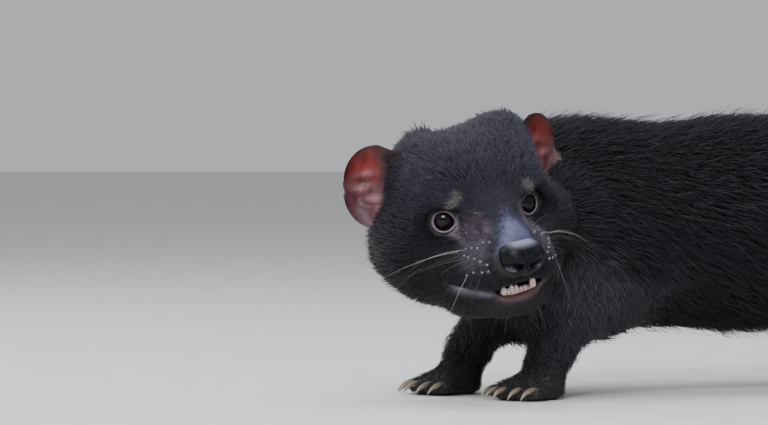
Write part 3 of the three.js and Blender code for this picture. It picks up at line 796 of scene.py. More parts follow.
def markings(points, zones):
    """Colour of skin and coat alike, by place, with painted sheen on the crown, painted fill light on the
    legs, a painted highlight on the lip and painted shade in the mouth.
    """
    local = to_head(points)
    head = head_of(zones)
    feet = feet_of(zones)
    colour = np.tile(BLACK_COAT, (len(points), 1))
    # Painted fill light on legs and feet
    colour = mixed(colour, LEG_FILL_LIGHT, share_of(zones, "foreleg", "hindleg") + feet)
    # Painted sheen: the head's coat lighter and bluer towards its top
    colour = mixed(colour, CROWN_SKY_SHEEN, head * step_between(-6, 26, local[:, 2]))
    colour = mixed(colour, UNDER_COAT, head * step_between(-40, -60, local[:, 2]))
    colour = mixed(colour, FOOT_SKIN, 0.7 * feet)
    for side in SIDES.values():
        colour = mixed(colour, FACE_SKIN, 0.8 * blot(local, (side * 19, -24, -3), (17, 27, 16)))
        colour = mixed(colour, MUZZLE_SKIN, 0.75 * blot(local, (side * 25, -34, -17), (17, 21, 18)))
        for paint, places, wide, narrow, share in FACE_STREAKS:
            colour = mixed(colour, paint, share * streak(local, mirrored(places, side), wide, narrow))
    colour = mixed(colour, BRIDGE_SKIN, bridge_share(local) * head)
    low, high = (np.array(corner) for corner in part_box("torso"))
    wavy = points.copy()
    wavy[:, 2] += 0.004 * np.sin(points[:, 1] * 260) * np.cos(points[:, 2] * 310)
    for across in (low[0] + 0.02, high[0] - 0.03):
        centre = np.array([across, high[1] - 0.075, high[2] - 0.05])
        away = np.linalg.norm((wavy - centre) / RUMP_MARK_RADII, axis=1)
        colour = mixed(colour, RUMP_MARK, 0.95 * step_between(1.05, 0.8, away))
    across, back, up = local.T
    above = up - mouth_height(across)
    gape = mouth_gape(across)
    near = step_between(-2, -8, back) * step_between(44, 40, np.abs(across)) * head
    lower = above + LOWER_GAPE * gape
    band = step_between(-9, -4, lower) * step_between(0.0, -1.5, lower) * near
    # Painted highlight along the lower lip's ridge, on the animal's right side only
    lip_highlight_end = step_between(-14, -22, across) * step_between(-42, -34, across)
    colour = mixed(colour, LIP_RIDGE_HIGHLIGHT, 0.9 * band * lip_highlight_end)
    colour = mixed(colour, LIP_SKIN, 0.8 * band * step_between(24, 14, np.abs(across - 1)))
    edge = step_between(-3.2, -1.2, lower) * step_between(2.4, 0.6, lower)
    colour = mixed(colour, INNER_LIP, edge * near * gape)
    # Painted shade on the skin pushed back between the parted lips
    inside = step_between(0.8, -0.6, above - UPPER_GAPE * gape) * step_between(-0.2, 1.8, lower)
    return mixed(colour, MOUTH_SHADE, inside * near)


def bare_share(points, zones):
    """How bare the skin is, from 0 under the coat to 1 on lips, bridge and nose."""
    local = to_head(points)
    bare = bridge_share(local)
    across, back, up = local.T
    above = up - mouth_height(across)
    gape = mouth_gape(across)
    lips = step_between(UPPER_GAPE * gape + 2.6, UPPER_GAPE * gape + 1.2, above)
    lips = lips * step_between(-LOWER_GAPE * gape - 4.5, -LOWER_GAPE * gape - 2.5, above)
    bare = np.maximum(bare, lips * step_between(44, 40, np.abs(across)) * step_between(-2, -8, back))
    nose = np.linalg.norm((local - NOSE_CENTRE) / NOSE_RADII, axis=1)
    bare = np.maximum(bare, step_between(1.35, 1.15, nose))
    for side in SIDES.values():
        forward, beside = from_eye(local, side)
        opening = step_between(11.8, 10.2, np.linalg.norm(beside, axis=1)) * (forward > -4)
        corner = [(side * 23.5, 0), (side * 24, -4), (side * 28, -8)]
        bare = np.maximum(bare, opening)
        bare = np.maximum(bare, 0.9 * streak(local, corner, 4.5, 2.0))
    for root in whisker_pads():
        spot = step_between(2.4, 1.2, np.linalg.norm(local - root, axis=1))
        bare = np.maximum(bare, 0.9 * spot)
    return bare * head_of(zones)


# The lie of the coat
def raw_lie(points, zones):
    """Direction in which the coat would lie at each place, before it is laid along the skin."""
    local = to_head(points)
    from_nose = unit(local - np.array([0, -64, -22]))
    head_lie = 0.75 * from_nose + np.array([0, 0.8, -0.12])
    for side in SIDES.values():
        _, beside = from_eye(local, side)
        near = step_between(28, 14, np.linalg.norm(local - eye_centre(side), axis=1))
        head_lie = head_lie + 1.6 * near[:, None] * unit(beside)
    head_lie = head_lie @ HEAD_AXES.T
    middle = box_middle("torso")
    beside = np.clip(np.abs(points[:, 0] - middle[0]) / 0.08, 0, 1)
    trunk_lie = np.stack([np.zeros(len(points)), np.ones(len(points)), -0.55 * beside], axis=1)
    lies = {
        "head": head_lie,
        "lower_jaw": head_lie,
        "neck": trunk_lie + np.array([-0.9, 0, -0.1]),
        "torso": trunk_lie,
        "tail": np.tile([0.0, 1.0, -0.25], (len(points), 1)),
        "foreleg": np.tile([0.0, 0.35, -1.0], (len(points), 1)),
        "hindleg": np.tile([0.0, 0.45, -1.0], (len(points), 1)),
        "forefoot": np.tile([0.25, -0.8, -0.7], (len(points), 1)),
        "hindfoot": np.tile([0.0, -0.8, -0.7], (len(points), 1)),
    }
    total = np.zeros((len(points), 3))
    for index, name in enumerate(ZONE_NAMES):
        total += unit(lies[name]) * zones[:, index:index + 1]
    return total


def laid(vectors, normals):
    """Vectors laid flat on the surface with the given normals."""
    flat = vectors - normals * np.einsum("ij,ij->i", vectors, normals)[:, None]
    return unit(flat)


def coat_fields(points, zones):
    """Length and standing depth of the coat in millimetres, and tufts for each square millimetre."""
    table = np.array([[zone["length"], zone["standing"], zone["density"]] for zone in ZONES.values()])
    length, standing, density = (zones @ table).T
    head = head_of(zones)
    local = to_head(points)
    x, y, z = local.T
    face = head * step_between(26, -12, y) * step_between(34, 14, z)
    cheek = head * step_between(40, 62, np.abs(x)) * step_between(20, -6, z) * step_between(-8, 16, y)
    mound = soft_spot(local, (-20, 62, 46), 9)
    throat = head * step_between(-46, -62, z) * step_between(-36, -8, y)
    muzzle = head * step_between(-12, -34, y)
    hollow = neck_hollow(local)
    length = length * (1 - 0.45 * face) + 5 * cheek + 4 * throat + 5 * mound
    length = length * (1 - 0.5 * muzzle) * (1 - 0.6 * hollow)
    standing = standing * (1 - 0.62 * face) * (1 - 0.5 * muzzle) + 1.6 * cheek + 1.0 * throat + 4.5 * mound
    standing = standing * (1 - 0.75 * hollow)
    density = density * (1 + 1.1 * face + 0.6 * muzzle)
    return length, standing, density


def build_skin(spacing):
    """The whole skin with its ears, and its attributes for the finish and the coat."""
    flesh = joined_flesh(0.5 * MM)
    mesh = remeshed(flesh, spacing)
    bpy.data.meshes.remove(flesh)
    neighbours = Neighbours(mesh)
    points = positions_of(mesh)
    zones = zone_weights(points, neighbours)
    feet = feet_of(zones)
    slow = neighbours.smoothed(points, 30)
    quick = neighbours.smoothed(points, 4)
    points = quick * feet[:, None] + slow * (1 - feet[:, None])
    set_positions(mesh, points)
    _, standing, _ = coat_fields(points, zones)
    local = to_head(points)
    on_head = head_share(local)
    inset = standing * 0.85 * (1 - on_head)
    floor_share = step_between(0.004, 0.012, points[:, 2])
    points = points - normals_of(mesh) * (inset * MM * floor_share)[:, None]
    local = draw_to_head(to_head(points), on_head)
    set_positions(mesh, from_head(local))
    refine_face(mesh, 14)
    refine_face(mesh, 6, only_features=True)
    points = to_head(positions_of(mesh))
    points = draw_to_head(points, head_share(points))
    shaped = sculpt_face(points)
    share = head_share(points)[:, None]
    points = points + (shaped - points) * share
    for side in SIDES.values():
        points = eye_surround(points, side)
    points = points + np.outer(neck_hollow(points), [-1, 9, -2])
    set_positions(mesh, from_head(points))
    mesh = with_ears(mesh)
    return with_fields(mesh)


def refine_face(mesh, back_limit, only_features=False):
    """Refines the face in front of a limit, or only what lies round the eyes and the mouth."""
    centres = to_head(face_centres(mesh))
    near = np.abs(head_field(centres) + face_depth(centres)) < 9
    chosen = near & (centres[:, 1] < back_limit) & (centres[:, 2] > -75)
    if only_features:
        mouth, _ = distance_to_path(centres, on_face(*MOUTH_LINE))
        fine = mouth < 11
        for side in SIDES.values():
            fine |= np.linalg.norm(centres - eye_centre(side), axis=1) < 17
        chosen &= fine
    refine(mesh, chosen)


def with_ears(mesh):
    """The skin's mesh with both ears added, and a place on the ear at each vertex of theirs."""
    work = bmesh.new()
    work.from_mesh(mesh)
    body_count = len(work.verts)
    places = [np.full((body_count, 3), -2.0)]
    for side in SIDES.values():
        vertices, faces, place = ear_mesh(side)
        made = [work.verts.new(vertex) for vertex in from_head(vertices)]
        for face in faces:
            corners = [made[index] for index in face]
            work.faces.new(corners if side > 0 else corners[::-1])
        places.append(place)
    work.to_mesh(mesh)
    work.free()
    write_attribute(mesh, "ear_place", "FLOAT_VECTOR", np.concatenate(places))
    mesh.shade_smooth()
    return mesh


# Colour spots on the ear's inner side: place across and out, size across and out, share. The pink spots are
# painted glints on the folds' crests, the dark crease spots painted shade in the folds.
EAR_PAINT = [
    (EAR_RED, 0.55, 0.62, 0.28, 0.3, 0.95),
    (EAR_RED, 0.3, 0.35, 0.3, 0.25, 0.5),
    (EAR_CREST_GLINT, 0.29, 0.52, 0.09, 0.16, 0.7),
    (EAR_CREASE_SHADE, 0.12, 0.7, 0.06, 0.2, 0.8),
    (EAR_CREST_GLINT, -0.1, 0.7, 0.08, 0.12, 0.6),
    (EAR_CREST_GLINT, -0.34, 0.42, 0.08, 0.13, 0.8),
    (EAR_CREST_GLINT, -0.55, 0.34, 0.06, 0.1, 0.5),
    (EAR_CREASE_SHADE, -0.38, 0.77, 0.1, 0.1, 0.8),
    (EAR_CREASE_SHADE, -0.2, 0.5, 0.05, 0.14, 0.5),
    (EAR_CREASE_SHADE, -0.48, 0.55, 0.06, 0.16, 0.6),
]


def ear_colour(place):
    """Red over the upper part of an ear's inner side, painted pink glints on its folds lower down, painted
    shade in its creases, and dark behind.
    """
    across, out, front = place.T
    colour = np.tile(EAR_BROWN, (len(place), 1))
    colour = mixed(colour, EAR_MAUVE, step_between(0.2, -0.35, across))
    for paint, *spot, share in EAR_PAINT:
        colour = mixed(colour, paint, share * ear_spot(across, out, *spot))
    colour = mixed(colour, EAR_BACK, 0.9 * step_between(0.46, 0.1, out))
    rim = np.maximum(step_between(0.86, 1.0, np.abs(across)), step_between(0.88, 1.0, out))
    colour = mixed(colour, EAR_BACK, 0.6 * rim)
    return mixed(colour, EAR_BACK, 1 - front)


def with_fields(mesh):
    """Writes the lie, length and density of the coat, the markings and bareness on the skin."""
    neighbours = Neighbours(mesh)
    points = positions_of(mesh)
    normals = normals_of(mesh)
    place = read_attribute(mesh, "ear_place", 3)
    on_ear = place[:, 0] > -1.5
    zones = zone_weights(points, neighbours)
    lie = laid(raw_lie(points, zones), normals)
    for _ in range(12):
        lie = laid(neighbours.smoothed(lie, 2), normals)
    length, standing, density = coat_fields(points, zones)
    colour = markings(points, zones)
    bare = bare_share(points, zones)
    underfoot = step_between(0.006, 0.002, points[:, 2])
    density = density * (1 - bare) * (1 - underfoot)
    ears = place[on_ear]
    outwards = np.where(points[on_ear] @ HEAD_AXES[:, :1] > HEAD_ORIGIN @ HEAD_AXES[:, 0], 1, -1)
    tip_lie = outwards * (HEAD_AXES @ np.array([0.86, 0.0, 0.0])) + HEAD_AXES @ np.array([0, 0.48, 0.05])
    lie[on_ear] = laid(tip_lie, normals[on_ear])
    fringe = np.maximum(step_between(0.88, 0.98, np.abs(ears[:, 0])), step_between(0.9, 0.98, ears[:, 1]))
    root = step_between(0.22, 0.02, ears[:, 1])
    back = 1 - ears[:, 2]
    length[on_ear] = (3.2 + 5 * root) * (1 - 0.75 * fringe)
    standing[on_ear] = (0.6 + 2.2 * root) * (1 - 0.6 * fringe)
    density[on_ear] = np.clip((0.9 * back + 1.0 * root) * (1 - 0.7 * fringe), 0, 1.1) * (ears[:, 1] > -0.02)
    colour[on_ear] = ear_colour(ears)
    bare[on_ear] = ears[:, 2] * (1 - root)
    write_attribute(mesh, "lie", "FLOAT_VECTOR", lie)
    write_attribute(mesh, "coat_length", "FLOAT", length * MM)
    write_attribute(mesh, "coat_standing", "FLOAT", standing * MM)
    write_attribute(mesh, "coat_density", "FLOAT", density)
    write_attribute(mesh, "bare", "FLOAT", bare)
    opaque = np.ones((len(colour), 1))
    write_attribute(mesh, "marking", "FLOAT_COLOR", np.concatenate([colour, opaque], axis=1))
    owner = np.argmax(zones, axis=1).astype(float)
    owner[on_ear] = ZONE_NAMES.index("head")
    write_attribute(mesh, "zone", "FLOAT", owner)
    return mesh


def unwrap(piece, name):
    """An unwrap of the piece's own shape."""
    piece.data.uv_layers.new(name=name)
    bpy.context.view_layer.objects.active = piece
    for other in bpy.context.selected_objects:
        other.select_set(False)
    piece.select_set(True)
    bpy.ops.object.mode_set(mode="EDIT")
    bpy.ops.mesh.select_all(action="SELECT")
    bpy.ops.uv.smart_project(angle_limit=math.radians(70), island_margin=0.002)
    bpy.ops.object.mode_set(mode="OBJECT")


# Materials
class NodeTree:
    """A node tree with a short call to add a node."""

    def __init__(self, tree):
        self.tree = tree

    def feed(self, socket, value):
        """Links a socket to another one, or gives it a value."""
        if isinstance(value, bpy.types.NodeSocket):
            self.tree.links.new(value, socket)
        else:
            socket.default_value = value

    def add(self, kind, inputs=None, **settings):
        node = self.tree.nodes.new(kind)
        for key, value in settings.items():
            setattr(node, key, value)
        for key, value in (inputs or {}).items():
            self.feed(node.inputs[key], value)
        return node


class Finish(NodeTree):
    """A material, with short calls for the nodes that lead to its shader."""

    def __init__(self, name):
        self.material = bpy.data.materials.new(name)
        self.material.use_nodes = True
        super().__init__(self.material.node_tree)
        self.shader = self.tree.nodes["Principled BSDF"]

    def attribute(self, name, output="Fac"):
        return self.add("ShaderNodeAttribute", attribute_name=name).outputs[output]

    def place(self):
        return self.add("ShaderNodeTexCoord").outputs["Object"]

    def noise(self, scale, detail=4.0, roughness=0.55):
        inputs = {"Vector": self.place(), "Scale": scale, "Detail": detail, "Roughness": roughness}
        return self.add("ShaderNodeTexNoise", inputs).outputs["Fac"]

    def cells(self, scale):
        inputs = {"Vector": self.place(), "Scale": scale}
        return self.add("ShaderNodeTexVoronoi", inputs, feature="SMOOTH_F1").outputs["Distance"]

    def ramp(self, value, low, high, start=0.0, end=1.0):
        inputs = {"Value": value, "From Min": start, "From Max": end, "To Min": low, "To Max": high}
        return self.add("ShaderNodeMapRange", inputs).outputs["Result"]

    def varied(self, noise, low, high):
        """A value from low to high over the range in which most of a noise lies."""
        return self.ramp(noise, low, high, 0.3, 0.7)

    def maths(self, operation, first, second):
        return self.add("ShaderNodeMath", {0: first, 1: second}, operation=operation).outputs["Value"]

    def colour_mix(self, share, first, second):
        """A colour between two, each a socket or a colour in linear light."""
        node = self.add("ShaderNodeMix", data_type="RGBA", blend_type="MIX")
        sockets = {socket.identifier: socket for socket in (*node.inputs, *node.outputs)}
        self.feed(sockets["Factor_Float"], share)
        for identifier, colour in (("A_Color", first), ("B_Color", second)):
            self.feed(sockets[identifier], rgba(colour) if isinstance(colour, np.ndarray) else colour)
        return sockets["Result_Color"]

    def scaled(self, colour, factor):
        """A colour times a value."""
        return self.add("ShaderNodeVectorMath", {0: colour, 3: factor}, operation="SCALE").outputs["Vector"]

    def colour(self, colour):
        self.feed(self.shader.inputs["Base Color"], colour)

    def roughness(self, roughness):
        self.feed(self.shader.inputs["Roughness"], roughness)

    def bump(self, height, strength, distance):
        inputs = {"Height": height, "Strength": strength, "Distance": distance}
        self.feed(self.shader.inputs["Normal"], self.add("ShaderNodeBump", inputs).outputs["Normal"])

    def fixed(self, **values):
        """The material, with constants set on its shader."""
        names = {
            "specular": "Specular IOR Level",
            "sheen": "Sheen Weight",
            "sheen_roughness": "Sheen Roughness",
            "sheen_tint": "Sheen Tint",
            "gloss": "Coat Weight",
            "gloss_roughness": "Coat Roughness",
        }
        for key, value in values.items():
            self.shader.inputs[names[key]].default_value = value
        return self.material


def rgba(colour):
    return (*[float(value) for value in colour], 1.0)


def skin_finish():
    finish = Finish("devil_skin")
    grain = finish.noise(900, 3)
    blotches = finish.varied(finish.noise(140, 5), 0.72, 1.3)
    tone = finish.maths("MULTIPLY", blotches, finish.varied(grain, 0.82, 1.18))
    finish.colour(finish.scaled(finish.attribute("marking", "Color"), tone))
    finish.roughness(finish.ramp(finish.attribute("bare"), 0.75, 0.42))
    pores = finish.maths("MULTIPLY", finish.cells(1300), 0.7)
    finish.bump(finish.maths("ADD", pores, grain), 0.35, 0.0006)
    return finish.fixed(specular=0.3)


def coat_finish():
    finish = Finish("devil_coat")
    locks = finish.varied(finish.noise(90, 4), 0.75, 1.25)
    shade = finish.ramp(finish.attribute("shade"), 0.8, 1.2)
    tip = finish.ramp(finish.attribute("tip"), 0.7, 1.15)
    tone = finish.maths("MULTIPLY", finish.maths("MULTIPLY", shade, locks), tip)
    finish.colour(finish.scaled(finish.attribute("marking", "Color"), tone))
    streaks = finish.noise(1600, 2)
    finish.roughness(finish.varied(streaks, 0.42, 0.62))
    finish.bump(streaks, 0.25, 0.0002)
    return finish.fixed(specular=0.24, sheen=0.04, sheen_roughness=0.4, sheen_tint=(0.7, 0.78, 1.0, 1.0))


def eye_finish():
    finish = Finish("eye_wet_brown")
    ring = finish.attribute("ring")
    fibres = finish.noise(1500, 3)
    iris = finish.colour_mix(finish.ramp(fibres, 0, 1, 0.35, 0.65), linear(20, 12, 14), linear(33, 20, 21))
    dark = finish.colour_mix(finish.ramp(ring, 1, 0, 3.4, 4.0), iris, linear(8, 7, 8))
    finish.colour(finish.colour_mix(finish.ramp(ring, 0, 1, 6.4, 7.4), dark, linear(15, 10, 11)))
    finish.roughness(finish.varied(fibres, 0.05, 0.14))
    return finish.fixed(specular=0.0, gloss=0.5, gloss_roughness=0.05)


def lid_finish():
    finish = Finish("eyelid_skin")
    base = finish.colour_mix(finish.attribute("margin"), linear(28, 25, 30), linear(124, 114, 126))
    finish.colour(finish.scaled(base, finish.varied(finish.noise(220, 3), 0.75, 1.25)))
    creases = finish.noise(700, 4)
    finish.roughness(finish.varied(creases, 0.3, 0.5))
    finish.bump(creases, 0.4, 0.0004)
    return finish.fixed(specular=0.5)


def nose_finish():
    finish = Finish("nose_pad")
    patches = finish.noise(260, 4)
    base = finish.colour_mix(finish.ramp(patches, 0, 1, 0.35, 0.65), linear(10, 10, 13), linear(24, 24, 30))
    # The pale colour is a painted highlight on the pad's top and painted glints on the nostrils' rims
    finish.colour(finish.colour_mix(finish.attribute("pale"), base, linear(124, 122, 140)))
    finish.roughness(finish.varied(patches, 0.3, 0.42))
    finish.bump(finish.cells(1500), 0.4, 0.0004)
    return finish.fixed(specular=0.12)


def gum_finish():
    finish = Finish("wet_gum")
    spots = finish.noise(420, 4)
    share = finish.ramp(spots, 0, 1, 0.35, 0.65)
    finish.colour(finish.colour_mix(share, linear(150, 92, 92), linear(205, 160, 158)))
    finish.roughness(finish.varied(spots, 0.15, 0.3))
    finish.bump(spots, 0.3, 0.0004)
    return finish.fixed(specular=0.55, gloss=0.5, gloss_roughness=0.1)


def tooth_finish():
    finish = Finish("tooth_enamel")
    stains = finish.noise(600, 4)
    share = finish.varied(stains, 0, 1)
    finish.colour(finish.colour_mix(share, linear(190, 162, 160), linear(220, 200, 198)))
    finish.roughness(finish.varied(stains, 0.18, 0.32))
    return finish.fixed(specular=0.55)


def claw_finish():
    finish = Finish("claw_horn")
    bands = finish.noise(500, 5)
    base = finish.colour_mix(finish.attribute("tip"), linear(64, 56, 50), linear(142, 128, 108))
    finish.colour(finish.scaled(base, finish.varied(bands, 0.7, 1.25)))
    finish.roughness(finish.varied(bands, 0.3, 0.5))
    finish.bump(bands, 0.3, 0.0003)
    return finish.fixed(specular=0.5)


def whisker_finish():
    finish = Finish("whisker")
    grain = finish.noise(800, 2)
    base = finish.colour_mix(finish.attribute("pale"), linear(24, 23, 24), linear(150, 146, 142))
    finish.colour(finish.scaled(base, finish.varied(grain, 0.8, 1.2)))
    finish.roughness(finish.varied(grain, 0.4, 0.55))
    return finish.fixed(specular=0.25)


def follicle_finish():
    finish = Finish("whisker_root")
    grain = finish.noise(900, 3)
    base = finish.colour_mix(finish.varied(grain, 0, 1), linear(104, 96, 104), linear(136, 128, 136))
    finish.colour(finish.scaled(base, finish.varied(grain, 0.7, 1.2)))
    finish.roughness(finish.varied(grain, 0.35, 0.5))
    return finish.fixed(specular=0.45)


def floor_finish():
    finish = Finish("studio_floor")
    grain = finish.noise(30, 4)
    finish.colour(finish.colour_mix(finish.varied(grain, 0, 1), linear(206, 205, 203), linear(214, 213, 211)))
    finish.roughness(finish.varied(grain, 0.55, 0.65))
    return finish.fixed(specular=0.3)


# Geometry Nodes
class Growth(NodeTree):
    """A Geometry Nodes tree from a source mesh to finished strands or bumps."""

    def __init__(self, name, **inputs):
        super().__init__(bpy.data.node_groups.new(name, "GeometryNodeTree"))
        for label, kind in {"Source": "Geometry", **inputs, "Finish": "Material"}.items():
            self.tree.interface.new_socket(label, in_out="INPUT", socket_type="NodeSocket" + kind)
        self.tree.interface.new_socket("Grown", in_out="OUTPUT", socket_type="NodeSocketGeometry")
        self.entry = self.add("NodeGroupInput").outputs

    def finished(self, geometry):
        """The tree, with the grown geometry made real, smooth and given its finish."""
        real = self.add("GeometryNodeRealizeInstances", {"Geometry": geometry})
        smooth = self.add("GeometryNodeSetShadeSmooth", {"Geometry": real.outputs["Geometry"]})
        inputs = {"Geometry": smooth.outputs["Geometry"], "Material": self.entry["Finish"]}
        painted = self.add("GeometryNodeSetMaterial", inputs)
        self.add("NodeGroupOutput", {"Grown": painted.outputs["Geometry"]})
        return self.tree


def strand_tree():
    """Turns lines of points with a thickness into tapered, closed strands."""
    growth = Growth("tapered strands", Sides="Int")
    curves = growth.add("GeometryNodeMeshToCurve", {"Mesh": growth.entry["Source"]})
    thickness = growth.add("GeometryNodeInputNamedAttribute", {"Name": "thickness"}, data_type="FLOAT")
    inputs = {"Resolution": growth.entry["Sides"], "Radius": 1.0}
    circle = growth.add("GeometryNodeCurvePrimitiveCircle", inputs)
    inputs = {
        "Curve": curves.outputs["Curve"],
        "Profile Curve": circle.outputs["Curve"],
        "Scale": thickness.outputs["Attribute"],
        "Fill Caps": True,
    }
    return growth.finished(growth.add("GeometryNodeCurveToMesh", inputs).outputs["Mesh"])


def bump_tree():
    """Sets a small round bump on each point."""
    growth = Growth("round bumps", Radius="Float")
    ball = growth.add("GeometryNodeMeshIcoSphere", {"Radius": growth.entry["Radius"], "Subdivisions": 2})
    inputs = {"Points": growth.entry["Source"], "Instance": ball.outputs["Mesh"]}
    return growth.finished(growth.add("GeometryNodeInstanceOnPoints", inputs).outputs["Instances"])


def grown_by(name, source, tree, inputs):
    """A plain mesh object made from a source mesh by a Geometry Nodes tree."""
    work = placed(name + "_source", source)
    modifier = work.modifiers.new("grow", "NODES")
    modifier.node_group = tree
    for item in tree.interface.items_tree:
        if item.in_out == "INPUT" and item.name in inputs:
            modifier[item.identifier] = inputs[item.name]
    mesh = plain_mesh(work, name)
    bpy.data.objects.remove(work)
    bpy.data.meshes.remove(source)
    if not len(mesh.polygons):
        raise RuntimeError(f"{name} came out empty")
    return outward(placed(name, mesh))


def line_mesh(name, lines, thickness, extra):
    """A mesh of lines of points with a thickness, and one more value for each point."""
    edges = []
    start = 0
    for line in lines:
        edges.extend((start + step, start + step + 1) for step in range(len(line) - 1))
        start += len(line)
    mesh = bpy.data.meshes.new(name)
    mesh.from_pydata(np.concatenate(lines).tolist(), edges, [])
    write_attribute(mesh, "thickness", "FLOAT", np.concatenate(thickness))
    for key, values in extra.items():
        write_attribute(mesh, key, "FLOAT", np.concatenate(values))
    return mesh


# Closed shapes made of rings of points
def ball_faces(rings, segments):
    """Faces of a ball made of a first point, rings of as many points each and a last point."""
    last = 1 + rings * segments
    faces = []
    for step in range(segments):
        ahead = (step + 1) % segments
        faces.append((0, 1 + step, 1 + ahead))
        faces.append((last, last - segments + ahead, last - segments + step))
    for start in range(1, last - segments, segments):
        for step in range(segments):
            ahead = (step + 1) % segments
            faces.append((start + step, start + segments + step, start + segments + ahead, start + ahead))
    return faces


def tube_faces(rings, count, closed=False):
    """Faces of a tube through rings of as many points each, closed into a loop or by a cap at each end."""
    faces = []
    for ring in range(rings if closed else rings - 1):
        here = ring * count
        there = (ring + 1) % rings * count
        for place in range(count):
            after = (place + 1) % count
            faces.append((here + place, here + after, there + after, there + place))
    if not closed:
        faces.append(tuple(range(count - 1, -1, -1)))
        faces.append(tuple(range((rings - 1) * count, rings * count)))
    return faces


# Eyes and lids
EYE_RINGS = 38
EYE_SEGMENTS = 56


def eye_mesh(side):
    """Vertices and faces of an eyeball with its cornea, and how far each vertex lies from its axis."""
    axis = eye_axis(side)
    across = unit(np.cross(axis, [0, 0, 1]))
    upwards = np.cross(across, axis)
    vertices = []
    ring_place = []
    for angle in np.linspace(0, math.pi, EYE_RINGS + 2):
        radius = EYEBALL_RADIUS * (1 + 0.015 * math.exp(-((angle / 0.75) ** 2)))
        for step in range(EYE_SEGMENTS if 0 < angle < math.pi else 1):
            turn = 2 * math.pi * step / EYE_SEGMENTS
            sideways = math.cos(turn) * across + math.sin(turn) * upwards
            vertices.append(eye_centre(side) + radius * (math.cos(angle) * axis + math.sin(angle) * sideways))
            ring_place.append(EYEBALL_RADIUS * math.sin(min(angle, math.pi / 2)))
    return np.array(vertices), ball_faces(EYE_RINGS, EYE_SEGMENTS), np.array(ring_place)


# Lid section from its inner edge outwards and back below: distance beyond the opening, height over the eye
LID_SECTION = [
    (0.6, -0.5), (0.05, 0.2), (0.1, 0.6), (0.5, 0.85), (1.2, 0.95), (2.1, 0.9), (3.1, 0.7), (4.4, 0.4),
    (6.2, -0.8), (4.0, -1.2), (1.8, -0.9),
]
# Size of the opening between the lids, and how far its corner draws out towards the nose and down
LID_HALF_WIDTH = 6.7
LID_RISE = 6.5
LID_FALL = 6.3
LID_CORNER = np.array([1.8, -1.5])
LID_SEGMENTS = 72


def lid_mesh(side):
    """Vertices and faces of the lids round an eye, and how light each vertex of their margin is."""
    axis = eye_axis(side)
    towards_nose = unit(np.cross(axis, [0, 0, 1]) * side)
    upwards = unit(np.cross(axis, np.cross([0, 0, 1], axis)))
    vertices = []
    margin = []
    for step in range(LID_SEGMENTS):
        turn = 2 * math.pi * step / LID_SEGMENTS
        rise = (LID_RISE if math.sin(turn) > 0 else LID_FALL) * math.sin(turn)
        edge = np.array([LID_HALF_WIDTH * math.cos(turn), rise])
        edge = edge + LID_CORNER * max(0.0, math.cos(turn)) ** 14
        reach = np.linalg.norm(edge)
        sideways = (edge[0] * towards_nose + edge[1] * upwards) / reach
        heavier = 1 + 0.25 * max(0.0, math.sin(turn))
        pale = 1 - 0.8 * max(0.0, math.sin(turn - 0.35)) ** 1.5
        pale_width = 1.6 + 2.6 * max(0.0, math.cos(turn + 0.45)) ** 3
        for beyond, height in LID_SECTION:
            wide = min(reach + beyond * heavier, EYEBALL_RADIUS * 1.75)
            angle = math.asin(min(1, reach / EYEBALL_RADIUS)) + (wide - reach) / EYEBALL_RADIUS * 1.15
            radius = EYEBALL_RADIUS + 0.25 + height * heavier
            vertices.append(eye_centre(side) + radius * (math.cos(angle) * axis + math.sin(angle) * sideways))
            margin.append(pale * math.exp(-((max(0.0, beyond - 0.5) / pale_width) ** 2)))
    return np.array(vertices), tube_faces(LID_SEGMENTS, len(LID_SECTION), closed=True), np.array(margin)


# Nose: rings of its ball, how square it is, and its paths with x for the animal's left side
NOSE_RINGS = 89
NOSE_SEGMENTS = 120
NOSE_SQUARENESS = 2.9
NOSTRIL = [(5.4, -12, -4.4), (8.8, -11, -2.4), (12.2, -8.5, -2.2), (15.2, -4.5, -3.6)]
NOSE_WING = [(4, -12, -1.0), (9, -11, 1.2), (14, -6.5, 0.8)]
# Path of the painted glint along each nostril's lower rim
NOSTRIL_GLINT_PATH = [(9.5, -10, -6.4), (14, -5.5, -5.4)]


